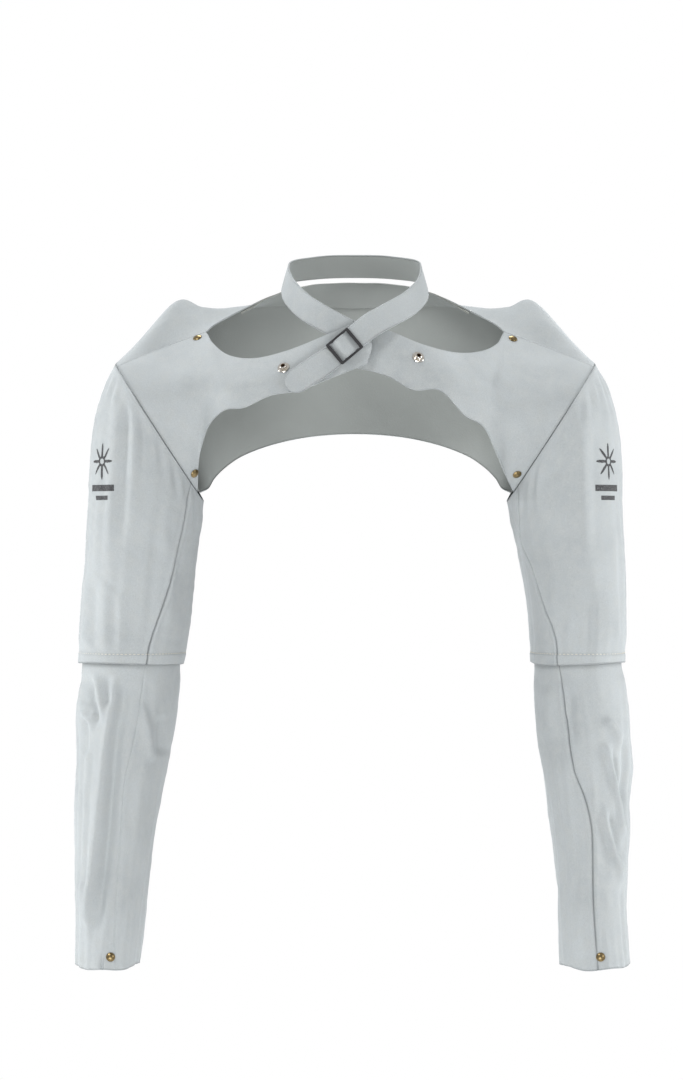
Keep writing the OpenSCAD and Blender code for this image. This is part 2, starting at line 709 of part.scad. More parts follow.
// ---- nodes ----------------------------------------------------------------------
module right_front_yoke() front_yoke(RIGHT);
module left_front_yoke() front_yoke(LEFT);
module right_bib_stud() on_side(RIGHT) at_stud(RIGHT) bib_stud();
module left_bib_stud() on_side(LEFT) at_stud(LEFT) bib_stud();
module right_stud_eyelet() on_side(RIGHT) at_stud(RIGHT) stud_eyelet();
module left_stud_eyelet() on_side(LEFT) at_stud(LEFT) stud_eyelet();
module right_shoulder_rivet_cap() on_side(RIGHT) at_shoulder_rivet(RIGHT) rivet_cap();
module left_shoulder_rivet_cap() on_side(LEFT) at_shoulder_rivet(LEFT) rivet_cap();
module right_shoulder_rivet_post() on_side(RIGHT) at_shoulder_rivet(RIGHT) rivet_post();
module left_shoulder_rivet_post() on_side(LEFT) at_shoulder_rivet(LEFT) rivet_post();
module right_underarm_rivet_cap() on_side(RIGHT) at_under_rivet(RIGHT) rivet_cap();
module left_underarm_rivet_cap() on_side(LEFT) at_under_rivet(LEFT) rivet_cap();
module right_underarm_rivet_post() on_side(RIGHT) at_under_rivet(RIGHT) rivet_post(under_seat);
module left_underarm_rivet_post() on_side(LEFT) at_under_rivet(LEFT) rivet_post(under_seat);
module right_upper_sleeve() upper_sleeve(RIGHT);
module left_upper_sleeve() upper_sleeve(LEFT);
module right_lower_sleeve() lower_sleeve(RIGHT);
module left_lower_sleeve() lower_sleeve(LEFT);
module right_cuff_rivet_cap() on_side(RIGHT) at_cuff_rivet() rivet_cap();
module left_cuff_rivet_cap() on_side(LEFT) at_cuff_rivet() rivet_cap();
module right_cuff_rivet_post() on_side(RIGHT) at_cuff_rivet() rivet_post(cuff_seat);
module left_cuff_rivet_post() on_side(LEFT) at_cuff_rivet() rivet_post(cuff_seat);

right_front_yoke();
left_front_yoke();
back_yoke();
back_neck_band();
neck_strap();
buckle_chape();
buckle_frame();
right_bib_stud();
left_bib_stud();
right_stud_eyelet();
left_stud_eyelet();
right_shoulder_rivet_cap();
left_shoulder_rivet_cap();
right_shoulder_rivet_post();
left_shoulder_rivet_post();
right_underarm_rivet_cap();
left_underarm_rivet_cap();
right_underarm_rivet_post();
left_underarm_rivet_post();
right_upper_sleeve();
left_upper_sleeve();
right_lower_sleeve();
left_lower_sleeve();
right_cuff_rivet_cap();
left_cuff_rivet_cap();
right_cuff_rivet_post();
left_cuff_rivet_post();
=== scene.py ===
"""Leather welding cape sleeves: the detailed model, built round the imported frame."""
import math

import bpy
import numpy as np
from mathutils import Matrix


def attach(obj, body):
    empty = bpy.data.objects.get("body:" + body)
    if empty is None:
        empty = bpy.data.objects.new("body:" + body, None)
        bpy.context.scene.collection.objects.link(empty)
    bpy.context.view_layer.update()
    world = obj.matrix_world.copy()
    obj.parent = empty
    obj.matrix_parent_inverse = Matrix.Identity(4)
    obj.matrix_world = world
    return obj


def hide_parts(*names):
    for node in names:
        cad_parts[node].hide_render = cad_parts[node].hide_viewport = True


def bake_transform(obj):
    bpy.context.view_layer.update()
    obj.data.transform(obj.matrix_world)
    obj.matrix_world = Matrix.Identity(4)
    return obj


bl_info = {
    "name": "Leather cape sleeves",
    "version": (1, 0, 0),
    "blender": (4, 5, 0),
    "location": "View3D > Sidebar > Sleeves",
    "description": "Builds a pair of split-leather welding sleeves joined by a shoulder yoke",
    "category": "Object",
}

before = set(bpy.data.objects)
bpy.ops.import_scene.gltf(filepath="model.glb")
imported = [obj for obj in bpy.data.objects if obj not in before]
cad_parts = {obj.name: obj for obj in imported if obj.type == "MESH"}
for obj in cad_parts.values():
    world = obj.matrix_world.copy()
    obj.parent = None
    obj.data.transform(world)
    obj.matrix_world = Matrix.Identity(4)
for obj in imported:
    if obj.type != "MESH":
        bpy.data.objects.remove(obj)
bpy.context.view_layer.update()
MM = 0.001
SIDES = {"right": 0, "left": 1}


# ---------------------------------------------------------------- settings


class SleeveSizes(bpy.types.PropertyGroup):
    """Sizes of the leather, in millimetres."""

    leather_t: bpy.props.FloatProperty(
        name="Leather", description="Thickness of the split leather", default=1.4, min=0.8)
    strap_w: bpy.props.FloatProperty(
        name="Strap width", description="Width of the neck strap", default=24, min=15)
    strap_t: bpy.props.FloatProperty(
        name="Strap thickness", description="Thickness of the neck strap", default=1.6)
    hem_turn: bpy.props.FloatProperty(
        name="Hem", description="Height of the turned hem above the elbow", default=10)
    stitch: bpy.props.FloatProperty(
        name="Stitch", description="Length of one stitch", default=3.2, min=1.5)
    stitch_gap: bpy.props.FloatProperty(
        name="Stitch gap", description="Space between two stitches", default=1.0, min=0.3)
    thread_d: bpy.props.FloatProperty(
        name="Thread", description="Diameter of the sewing thread", default=1.0, min=0.2)
    fold_depth: bpy.props.FloatProperty(
        name="Folds", description="Depth of the folds, 1 as worn", default=1.0, min=0, max=2)


class SleeveColours(bpy.types.PropertyGroup):
    """Colours of the leather, the hardware and the floor, in linear light."""

    suede: bpy.props.FloatVectorProperty(
        name="Suede", description="Blue-grey split leather", subtype="COLOR",
        default=(0.425, 0.455, 0.467))
    flesh: bpy.props.FloatVectorProperty(
        name="Flesh side", description="Inside of the leather", subtype="COLOR",
        default=(0.33, 0.35, 0.34))
    band: bpy.props.FloatVectorProperty(
        name="Neck band", description="Olive-grey strip at the back neckline",
        subtype="COLOR", default=(0.27, 0.28, 0.25))
    thread: bpy.props.FloatVectorProperty(
        name="Thread", description="Sewing thread", subtype="COLOR",
        default=(0.72, 0.70, 0.62))
    ink: bpy.props.FloatVectorProperty(
        name="Ink", description="Printed badge", subtype="COLOR",
        default=(0.035, 0.035, 0.038))
    brass: bpy.props.FloatVectorProperty(
        name="Brass", description="Rivets", subtype="COLOR",
        default=(0.36, 0.27, 0.135))
    eyelet: bpy.props.FloatVectorProperty(
        name="Eyelet", description="Darkened brass eyelets", subtype="COLOR",
        default=(0.10, 0.06, 0.035))
    nickel: bpy.props.FloatVectorProperty(
        name="Nickel", description="Snap studs", subtype="COLOR",
        default=(0.74, 0.70, 0.64))
    enamel: bpy.props.FloatVectorProperty(
        name="Enamel", description="Buckle", subtype="COLOR",
        default=(0.018, 0.018, 0.02))
    floor: bpy.props.FloatVectorProperty(
        name="Floor", description="Floor under the sleeves", subtype="COLOR",
        default=(0.82, 0.82, 0.82))


# ---------------------------------------------------------------- curves and fields


def mix(a, b, t):
    """a where t is 0, b where t is 1 and a straight change between."""
    return a + (b - a) * t


def ramp(x, x0, x1):
    """0 at x0, 1 at x1, straight between and level outside."""
    return np.clip((x - x0) / (x1 - x0), 0.0, 1.0)


def smooth(t):
    """An S-shaped change from 0 to 1."""
    return t * t * (3 - 2 * t)


def unit(v):
    """v scaled to length 1."""
    return v / np.maximum(np.linalg.norm(v, axis=-1, keepdims=True), 1e-12)


def streaks(phi, z, count, seed):
    """Long shallow wrinkles that run down a sleeve: waves round it that drift and fade as
    they go down."""
    rng = np.random.default_rng(seed)
    total = 0
    for k in range(5):
        drift = rng.uniform(0.6, 1.4) * np.sin(z / rng.uniform(60, 120) + rng.uniform(0, 6))
        fade = 0.5 + 0.5 * np.sin(z / rng.uniform(35, 80) + rng.uniform(0, 6) + phi)
        total = total + fade * np.sin((count + 3 * k) * phi + drift + rng.uniform(0, 6))
    return total / 3


def bell(x, width):
    """1 at x = 0, falling away like a bell."""
    return np.exp(-((x / width) ** 2))


def spline(points, t, before=None):
    """The Catmull-Rom curve through the points, t from 0 to 1 along all of them. Each
    point may itself be an array, and then one curve runs through each of its places."""
    knots = [np.asarray(p, float) for p in points]
    n = len(knots) - 1
    first = 2 * knots[0] - knots[1] if before is None else before
    knots = np.stack(np.broadcast_arrays(first, *knots, 2 * knots[n] - knots[n - 1]))
    s = np.asarray(t, float) * n
    i = np.clip(np.floor(s), 0, n - 1).astype(int)
    f = (s - i)[..., None]
    if knots.ndim == 2:
        a, b, c, d = (knots[i + k] for k in range(4))
    else:
        a, b, c, d = (np.take_along_axis(knots, (i + k)[None, ..., None], 0)[0]
                      for k in range(4))
    return 0.5 * (2 * b + (c - a) * f + (2 * a - 5 * b + 4 * c - d) * f ** 2
                  + (3 * b - a - 3 * c + d) * f ** 3)


def along(table, z):
    """A value read off a smooth line through (z, value) pairs, z falling."""
    table = np.asarray(table, float)
    n = len(table) - 1
    at = np.interp(-np.asarray(z, float), -table[:, 0], np.arange(n + 1) / n)
    return spline([[v] for v in table[:, 1]], at)[..., 0]


def grid(rows, cols):
    """Two arrays from 0 to 1: across the columns, and up the rows."""
    return np.meshgrid(np.linspace(0, 1, cols), np.linspace(0, 1, rows))


def grid_normals(g, closed=False):
    """Unit normals of a grid: columns crossed with rows. A closed grid wraps round."""
    if closed:
        across = np.roll(g, -1, 1) - np.roll(g, 1, 1)
    else:
        across = np.gradient(g, axis=1)
    return unit(np.cross(across, np.gradient(g, axis=0)))


# ---------------------------------------------------------------- sleeve tube

TIP = np.array([243.0, 4.0, -27.0])
UNDER_X = 154.0
UNDER_Z = -166.0
HEM_Z = -330.0
CUFF_Z = -632.0
SLEEVE_Y = 4.0
UPPER_D = 144.0
CUFF_D = 100.0
CUFF_FWD = 38.0
SQUARE = 2 / 2.2
HOLE_N = unit(np.array([139.0, 0.0, -89.0]))
SEAM_GAP = 0.6

# Outside and inside of each sleeve seen from the front, as (height, distance from the middle)
OUTER_LINE = [
    [(-166, 269), (-198, 271.5), (-255, 275.5), (-298, 278.5), (-333, 280), (-375, 284),
     (-420, 283), (-485, 283.5), (-554, 283), (-632, 283)],
    [(-166, 269), (-209, 272.5), (-245, 274), (-298, 274.5), (-333, 273), (-347, 275.5),
     (-398, 279.5), (-435, 281), (-467, 277.5), (-503, 278), (-566, 273.5), (-632, 276.5)]]
INNER_LINE = [
    [(-166, 154), (-205, 158.5), (-255, 163), (-289, 166.5), (-316, 171), (-333, 175.5),
     (-382, 181.5), (-421, 187), (-455, 193), (-519, 203), (-581, 210.5), (-632, 217)],
    [(-166, 154), (-191, 159), (-216, 165.5), (-255, 173), (-298, 177.5), (-333, 179.5),
     (-363, 180.5), (-421, 185), (-467, 192), (-513, 198.5), (-565, 202), (-632, 205)]]
# Where the long seam of each sleeve runs, seen from the front
SEAM_LINE = [
    [(-150, 165.5), (-186, 171.5), (-226, 180.5), (-266, 190.5), (-306, 203.5),
     (-330, 208.5), (-366, 213.5), (-406, 220.5), (-446, 229.5), (-496, 233.5),
     (-566, 238.5), (-632, 239.5)],
    [(-150, 163), (-205, 166.5), (-237, 178), (-277, 190.5), (-303, 199.5), (-330, 202),
     (-366, 206.5), (-386, 209.5), (-436, 217.5), (-466, 229.5), (-496, 235.5),
     (-566, 236.5), (-632, 240.5)]]


def bent(c):
    """A cosine or sine squared off a little, so that a circle becomes a softer box."""
    return np.sign(c) * np.abs(c) ** SQUARE


def section(k, z):
    """Middle X, middle Y, half width and half depth of the sleeve at height z."""
    t = ramp(z, HEM_Z, CUFF_Z)
    cap = 1 - (1 - ramp(z, TIP[2], UNDER_Z)) ** 3
    outer = np.where(z > UNDER_Z, mix(TIP[0], OUTER_LINE[k][0][1], cap),
                     along(OUTER_LINE[k], z))
    inner = np.where(z > UNDER_Z, UNDER_X, along(INNER_LINE[k], z))
    depth = mix(UPPER_D, CUFF_D, t)
    return (outer + inner) / 2, SLEEVE_Y - CUFF_FWD * t ** 1.6, (outer - inner) / 2, depth / 2


def tube_pt(k, z, phi, off=0.0):
    """A point of the sleeve at height z and angle phi, in radians: 0 outside the arm,
    a quarter turn at the front. off moves it outwards."""
    cx, cy, a, b = section(k, z)
    x = cx + (a + off) * bent(np.cos(phi))
    y = cy - (b + off) * bent(np.sin(phi))
    return np.stack(np.broadcast_arrays(x, y, z), -1)


def top_z(k, phi, off=0.0, gap=-SEAM_GAP / 2):
    """Height at which the sleeve meets the armhole's plane, found by stepping there."""
    z = np.full(np.shape(phi), TIP[2])
    for _ in range(16):
        x = tube_pt(k, z, phi, off)[..., 0]
        z = TIP[2] + ((x - TIP[0]) * HOLE_N[0] - gap) / -HOLE_N[2]
    return z


def ring(phi):
    """The edge of the armhole at angle phi, in degrees."""
    phi = np.radians(phi)
    return tube_pt(0, top_z(0, phi), phi)


def seam_phi(k, z):
    """Angle at which the long seam runs at height z: the seam's X turned to an angle."""
    cx, _, a, _ = section(k, z)
    c = np.clip((along(SEAM_LINE[k], z) - cx) / a, -0.98, 0.98)
    return np.arccos(np.sign(c) * np.abs(c) ** (1 / SQUARE))


# ---------------------------------------------------------------- yoke panels

FRONT_REACH = 103.0
BACK_REACH = 110.0
HALF_NECK = 152.0
BACK_RISE = 58.0
BACK_LEN = 95.0
TIP_LAP = 15.0
NECK_CORNER = np.array([152.0, 6.0, 6.0])
FRONT_LOW_PHI = 155.0
SEAM_PHI = 30.0
BACK_PHIS = [-155.0, -95.0, -34.0, SEAM_PHI]
CORNER_U = 0.75
BACK_CORNER_U = 5 / 7
SHOULDER = [NECK_CORNER, [mix(152.0, 243.0, 0.52), 1, -12], ring(SEAM_PHI)]

LOW_EDGE = [
    [(-0.08, 0.96, 0.19), (0.14, 0.98, 0.27), (0.36, 0.99, 0.35), (0.545, 0.98, 0.38),
     (0.715, 0.94, 0.45), (0.845, 0.86, 0.465), (0.955, 0.72, 0.56), (1.013, 0.51, 0.735)],
    [(-0.03, 0.87, 0.205), (0.20, 0.91, 0.26), (0.37, 0.96, 0.345), (0.545, 0.97, 0.35),
     (0.70, 0.95, 0.495), (0.825, 0.875, 0.565), (0.915, 0.76, 0.73), (0.98, 0.54, 0.86)]]
NECK_EDGE = [
    [(0.026, 0.935, 7), (0.21, 0.875, -4), (0.447, 0.75, -17.5), (0.665, 0.63, -24.5),
     (0.835, 0.447, -20.5), (0.947, 0.205, -7)],
    [(-0.06, 0.77, 11), (0.197, 0.767, 3), (0.434, 0.73, -11), (0.645, 0.63, -18.5),
     (0.816, 0.456, -17), (0.94, 0.214, -8)]]
BULGE = [2, 2.5, 4, 7.5, 10, 17, 30, 40]
HEM_EDGE = [(0, 0.98, 0), (0.3, 1, 0.04), (0.56, 1.02, 0.155), (0.76, 0.96, 0.32),
            (0.88, 0.84, 0.50), (0.95, 0.65, 0.67), (0.985, 0.46, 0.82)]
BLADE_LINE = [(0, 0.965, -32), (0.26, 0.965, -33), (0.52, 0.955, -36), (0.79, 0.91, -40),
              (0.99, 0.84, -46), (1.12, 0.78, -52), (1.25, 0.71, -60)]
RIDGE_LINE = [(0, 0.855, 22), (0.3, 0.82, 25), (0.56, 0.745, 28), (0.77, 0.655, 30),
              (0.91, 0.58, 30), (1.03, 0.52, 32), (1.21, 0.42, 36)]
BACK_EDGE = [(0, 0.745, 1), (0.3, 0.69, 0.965), (0.55, 0.53, 0.81), (0.76, 0.365, 0.535),
             (0.935, 0.155, 0.26)]


def front_rows(k):
    """Control points of one front yoke: its lower edge, its middle and its neckline."""
    low = [[s[0] * UNDER_X, -s[1] * FRONT_REACH, s[2] * UNDER_Z] for s in LOW_EDGE[k]]
    neck = [[s[0] * HALF_NECK, -s[1] * FRONT_REACH, s[2]] for s in NECK_EDGE[k]]
    if k == 0:
        low[0][0] = 3 - TIP_LAP
    top = neck + SHOULDER[:2]
    mid = [(np.array(a) + np.array(b)) / 2 - [0, d, 0] for a, b, d in zip(low, top, BULGE)]
    if k == 0:
        mid[0] = np.array([-TIP_LAP, mid[0][1], mid[0][2] + 2])
    return (low + [ring(FRONT_LOW_PHI)], mid + [ring((FRONT_LOW_PHI + SEAM_PHI) / 2)],
            neck + [NECK_CORNER])


def shoulder_seam(t, shift):
    """The seam from the neck corner to the armhole, moved in Y by shift."""
    return spline(SHOULDER, t) + [0, shift, 0]


def front_pt(k, u, v):
    """A point of a front yoke: u from its tip to the armhole, v from its lower edge to
    the neckline. Three curves across, a curve through them upwards, and near the
    armhole a shift that brings the panel to the sleeve's ring."""
    low, mid, neck = front_rows(k)

    def net(u, v):
        top = np.where((u < CORNER_U)[..., None],
                       spline(neck, np.minimum(u / CORNER_U, 1)),
                       shoulder_seam(ramp(u, CORNER_U, 1), -SEAM_GAP / 2))
        return spline([spline(low, u), spline(mid, u), top], v)

    u, v = np.broadcast_arrays(np.asarray(u, float), np.asarray(v, float))
    hold = smooth(ramp(u, CORNER_U, 1))[..., None]
    return net(u, v) + hold * (ring(mix(FRONT_LOW_PHI, SEAM_PHI, v)) - net(np.ones_like(u), v))


def back_pt(u, v):
    """A point of the back yoke: u from -1 at the right armhole to 1 at the left one, v
    from the hem to the neckline, built as front_pt is from four curves."""
    rows = [
        [[s[0] * UNDER_X, s[1] * BACK_REACH, mix(-BACK_LEN, UNDER_Z, s[2])] for s in HEM_EDGE],
        [[s[0] * UNDER_X, s[1] * BACK_REACH, s[2]] for s in BLADE_LINE],
        [[s[0] * UNDER_X, s[1] * BACK_REACH, s[2]] for s in RIDGE_LINE]]
    rows = [row + [ring(phi)] for row, phi in zip(rows, BACK_PHIS)]
    neck = [[s[0] * HALF_NECK, s[1] * BACK_REACH, s[2] * BACK_RISE] for s in BACK_EDGE]
    neck = neck + [NECK_CORNER]

    def half(points, u):
        return spline(points, u, before=np.array(points[1]) * [-1, 1, 1])

    def net(u, v):
        top = np.where((u < BACK_CORNER_U)[..., None],
                       half(neck, np.minimum(u / BACK_CORNER_U, 1)),
                       shoulder_seam(ramp(u, BACK_CORNER_U, 1), SEAM_GAP / 2))
        return spline([half(row, u) for row in rows] + [top], v)

    u, v = np.broadcast_arrays(np.asarray(u, float), np.asarray(v, float))
    a = np.abs(u)
    hold = smooth(ramp(a, BACK_CORNER_U, 1))[..., None]
    phis = spline([[p] for p in BACK_PHIS], v)[..., 0]
    p = net(a, v) + hold * (ring(phis) - net(np.ones_like(a), v))
    return p * np.stack([np.where(u < 0, -1.0, 1.0)] + [np.ones_like(u)] * 2, -1)


# ---------------------------------------------------------------- folds

# Folds of the leather. Each is a line of (distance from the middle, height) points seen
# from the front, then its width and its height; a height below zero is a crease.
FOLDS = {
    ("upper", 0): [
        ([(224, -44), (221.5, -79), (219.5, -100), (222.5, -166)], 6.5, 3.6),
        ([(233.5, -50), (238, -93), (243, -150), (249, -250)], 6, 3.0),
        ([(229, -50), (229, -90), (231, -140), (234, -220)], 4.5, -3.0),
        ([(214, -70), (211, -120), (214, -180)], 6, -2.4),
        ([(273, -235), (273.5, -320)], 6, 2.2),
        ([(250.5, -240), (250.5, -322)], 6, 2.4),
        ([(262, -240), (262, -322)], 4.5, -2.0),
        ([(234.5, -255), (234.5, -322)], 6, 2.0),
        ([(190, -190), (186, -240), (181, -310)], 7, 2.2),
    ],
    ("upper", 1): [
        ([(184.5, -107), (183.5, -123), (182, -143), (182, -185)], 3.5, 2.8),
        ([(201.5, -95), (202, -120), (199, -150)], 7, -2.8),
        ([(222, -60), (226, -110), (228, -180), (226, -250)], 9, 2.6),
        ([(243, -80), (240, -140), (243, -220)], 7, -2.2),
        ([(258, -190), (256, -250), (260, -320)], 7, 2.4),
        ([(214, -230), (216, -280), (212, -320)], 6, 2.2),
        ([(238, -250), (236, -322)], 6, -1.8),
    ],
    ("front", 0): [
        ([(70, -62), (105, -78), (140, -88)], 8, -1.2),
        ([(85, -42), (120, -56), (150, -70)], 9, 0.9),
        ([(120, -100), (138, -112), (150, -126)], 6, 1.8),
        ([(165, -30), (178, -60), (182, -100)], 9, 1.8),
    ],
    ("front", 1): [
        ([(95, -62), (125, -72), (150, -84)], 7, 1.8),
        ([(110, -40), (140, -52), (165, -66)], 8, -1.4),
        ([(126, -104), (140, -116), (150, -130)], 6, 1.6),
        ([(168, -30), (180, -60), (184, -100)], 9, 1.6),
    ],
    ("lower", 0): [
        ([(240, -334), (241, -355), (243.5, -376), (248.5, -406), (251, -430), (261, -535),
          (264.7, -562), (266.5, -584), (269, -615)], 5.0, 4.4),
        ([(230, -340), (231, -360), (234, -385), (239, -415), (250, -530), (255, -570),
          (258, -610)], 6.0, -3.9),
        ([(275, -338), (270, -356), (274, -374)], 7, -3.0),
        ([(247, -336), (250, -355), (246, -374)], 6, -2.8),
        ([(262, -334), (258.5, -350), (254, -368), (251, -392)], 4.5, 3.0),
        ([(266, -340), (266, -362), (258, -378), (263.5, -398)], 3.4, -3.0),
        ([(276, -376), (267, -384), (259, -380)], 3.6, 2.2),
        ([(272, -383), (270, -400), (271, -425)], 3, -2.6),
        ([(214, -364), (206.5, -406), (203.5, -430)], 4.5, 3.0),
        ([(195, -380), (194, -402), (193.5, -425)], 5.5, -3.2),
        ([(272, -545), (270, -592)], 4.5, 2.4),
        ([(228, -480), (232, -540), (236, -600)], 7, 2.2),
        ([(250.5, -616), (253.3, -642)], 1.7, -2.8),
    ],
    ("lower", 1): [
        ([(246, -384), (256.3, -390), (262.5, -401), (265.3, -422)], 4.2, 3.4),
        ([(247, -406), (252.5, -418), (257, -438), (262.5, -464), (268, -490),
          (271.5, -514)], 3.8, 4.0),
        ([(255, -410), (261.5, -438), (267.5, -468), (271.5, -500)], 3.6, -3.4),
        ([(270.5, -400), (270.5, -470)], 4.5, -3.2),
        ([(193, -350), (193, -410)], 6, 2.6),
        ([(222, -345), (228, -400), (236, -470), (240, -560)], 7, 2.6),
        ([(212, -350), (217, -410)], 6, -2.4),
        ([(246, -466), (250, -488), (256, -510), (264, -535), (270, -562)], 4.2, 3.8),
        ([(252, -474), (259, -503), (267, -530)], 4, -3.0),
        ([(228, -540), (224, -580), (221, -620)], 6, 2.4),
    ],
}
FOLD_END = 0.22


def fold_field(folds, x, z):
    """Sum of the folds at (x, z): each is a bell across its line that dies out towards
    both of its ends."""
    total = np.zeros(np.shape(x))
    for line, width, height in folds:
        pts = spline([(a, b, 0) for a, b in line], np.linspace(0, 1, 32))[:, :2]
        best = np.full(np.shape(x), 1e9)
        where = np.zeros(np.shape(x))
        for i, (p, q) in enumerate(zip(pts[:-1], pts[1:])):
            d = q - p
            t = np.clip(((x - p[0]) * d[0] + (z - p[1]) * d[1]) / (d @ d), 0, 1)
            gap = np.hypot(x - p[0] - t * d[0], z - p[1] - t * d[1])
            closer = gap < best
            best = np.where(closer, gap, best)
            where = np.where(closer, (i + t) / (len(pts) - 1), where)
        ends = smooth(ramp(where, 0, FOLD_END)) * smooth(ramp(1 - where, 0, FOLD_END))
        total += height * ends * bell(best, width)
    return total


def ripple(x, y, z, size, seed):
    """Soft random-looking unevenness: a sum of six plane waves about size long."""
    rng = np.random.default_rng(seed)
    total = 0
    for _ in range(6):
        d = unit(rng.normal(size=3)) * 2 * math.pi / (size * rng.uniform(0.7, 1.5))
        total = total + np.sin(x * d[0] + y * d[1] + z * d[2] + rng.uniform(0, 6.28))
    return total / 6


# ---------------------------------------------------------------- meshes


def faces_of(rows, cols, start, closed, flip):
    """Quads of a grid of points whose first point has number start."""
    wrap = cols if closed else cols - 1
    i, j = np.meshgrid(np.arange(rows - 1), np.arange(wrap), indexing="ij")
    k = (j + 1) % cols
    quad = np.stack([i * cols + j, i * cols + k, (i + 1) * cols + k, (i + 1) * cols + j], -1)
    quad = quad.reshape(-1, 4) + start
    return quad[:, ::-1] if flip else quad


def strip(first, second, closed):
    """Quads between two lines of point numbers of the same length."""
    a, b = first, second
    if closed:
        a, b = np.append(a, a[0]), np.append(b, b[0])
    return np.stack([a[:-1], a[1:], b[1:], b[:-1]], -1)


def make_object(name, points, faces, material, values=None):
    """An object at the origin from points in millimetres and quads, with its rest place
    kept in the attribute rest for the materials, and any more values per point."""
    mesh = bpy.data.meshes.new(name)
    mesh.vertices.add(len(points))
    mesh.vertices.foreach_set("co", (points * MM).ravel())
    mesh.loops.add(faces.size)
    mesh.loops.foreach_set("vertex_index", faces.ravel())
    mesh.polygons.add(len(faces))
    mesh.polygons.foreach_set("loop_start", np.arange(len(faces)) * faces.shape[1])
    mesh.update(calc_edges=True)
    mesh.polygons.foreach_set("use_smooth", np.ones(len(faces), bool))
    rest = mesh.attributes.new("rest", "FLOAT_VECTOR", "POINT")
    rest.data.foreach_set("vector", (points * MM).ravel())
    for key, value in (values or {}).items():
        mesh.attributes.new(key, "FLOAT", "POINT").data.foreach_set(
            "value", np.asarray(value, np.float32).ravel())
    mesh.materials.append(material)
    mesh.validate()
    obj = bpy.data.objects.new(name, mesh)
    bpy.context.collection.objects.link(obj)
    return obj


def edge_step(normals, hold):
    """Unit-thickness steps along the normals that stay in the planes given by hold: a
    list of (mask, plane normal)."""
    step = normals.copy()
    for mask, plane in hold:
        inside = step - (step @ plane)[..., None] * plane
        step = np.where(mask[..., None], inside, step)
    return step / np.sum(step * normals, -1, keepdims=True)


# How far a cut edge swells out past the sheet, as a share of the sheet's thickness
RIM_SWELL = 0.3


def leather(name, outer, thickness, material, closed=False, hold=(), sign=1, crease=None):
    """A sheet of leather between the outer grid and one a thickness behind it, with
    rounded rims. The attribute back is 1 on the inside, rim is 1 on the cut edge, and
    the given darkness, shade painted into the colour, is kept as a third attribute."""
    rows, cols = outer.shape[:2]
    n = rows * cols
    normals = grid_normals(outer, closed) * sign
    step = edge_step(normals, hold) * thickness
    inner = outer - step
    number = np.arange(n).reshape(rows, cols)
    lines = [(number[0], False), (number[-1], True)]
    if not closed:
        lines += [(number[:, 0], True), (number[:, -1], False)]
    points = [outer.reshape(-1, 3), inner.reshape(-1, 3)]
    faces = [faces_of(rows, cols, 0, closed, sign < 0), faces_of(rows, cols, n, closed, sign > 0)]
    count = 2 * n
    flat = outer.reshape(-1, 3)
    half = (step / 2).reshape(-1, 3)
    inward = {0: number[1], 1: number[-2]}
    if not closed:
        inward.update({2: number[:, 1], 3: number[:, -2]})
    for which, (line, turned) in enumerate(lines):
        away = unit(flat[line] - flat[inward[which]]) * thickness * RIM_SWELL
        points.append(flat[line] - half[line] + away)
        middle = np.arange(len(line)) + count
        count += len(line)
        for a, b in ((line, middle), (middle, line + n)):
            quads = strip(a, b, closed)
            faces.append(quads if turned == (sign < 0) else quads[:, ::-1])
    back = np.concatenate([np.zeros(n), np.ones(n), np.full(count - 2 * n, 0.5)])
    rim = np.concatenate([np.zeros(2 * n), np.ones(count - 2 * n)])
    # Shade painted into the colour, on the outer face only
    shade = np.zeros(n) if crease is None else crease.ravel()
    shade = np.concatenate([shade, shade * 0, np.zeros(count - 2 * n)])
    return make_object(name, np.concatenate(points), np.concatenate(faces), material,
                       {"back": back, "rim": rim, "crease": shade})


def mirror_grid(g, k):
    """The grid as it is for the wearer's left, or mirrored for the right."""
    return g if k == 1 else g * [-1, 1, 1]


def side_sign(k):
    """Mirroring turns a surface inside out, so the right side's normals are reversed."""
    return 1 if k == 1 else -1


def capsules(name, middles, forwards, outs, length, diameter, material):
    """Many small stitches: each a six-sided bar with pinched ends, lying along forwards
    and half sunk below outs."""
    across = np.cross(forwards, outs)
    ring_at = np.array([-0.5, -0.36, 0.0, 0.36, 0.5])
    size = np.array([0.25, 0.85, 1.0, 0.85, 0.25])
    lift = np.array([-0.55, -0.1, 0.1, -0.1, -0.55])
    angle = np.arange(6) / 6 * 2 * math.pi
    m = middles[:, None, None, :]
    f, o, a = (v[:, None, None, :] for v in (forwards, outs, across))
    r = diameter / 2
    points = (m + f * (ring_at * length)[None, :, None, None]
              + o * (r * (size[:, None] * np.cos(angle) + lift[:, None]))[None, ..., None]
              + a * (r * size[:, None] * np.sin(angle))[None, ..., None])
    one = faces_of(5, 6, 0, True, False)
    caps = np.array([[3, 2, 1, 0], [5, 4, 3, 0], [24, 25, 26, 27], [24, 27, 28, 29]])
    one = np.concatenate([one, caps])
    count = len(middles)
    faces = (one[None] + (np.arange(count) * 30)[:, None, None]).reshape(-1, 4)
    return make_object(name, points.reshape(-1, 3), faces, material)


def sew(name, path, outs, sizes, material):
    """Stitches along a dense path: one every stitch and gap of its length."""
    step = np.linalg.norm(np.diff(path, axis=0), axis=1)
    run = np.concatenate([[0], np.cumsum(step)])
    pitch = sizes.stitch + sizes.stitch_gap
    at = np.arange(pitch / 2, run[-1], pitch)
    middles = np.stack([np.interp(at, run, path[:, i]) for i in range(3)], -1)
    ahead = np.stack([np.interp(at + 0.5, run, path[:, i]) for i in range(3)], -1)
    behind = np.stack([np.interp(at - 0.5, run, path[:, i]) for i in range(3)], -1)
    normal = unit(np.stack([np.interp(at, run, outs[:, i]) for i in range(3)], -1))
    return capsules(name, middles, unit(ahead - behind), normal, sizes.stitch,
                    sizes.thread_d, material)


# ---------------------------------------------------------------- materials


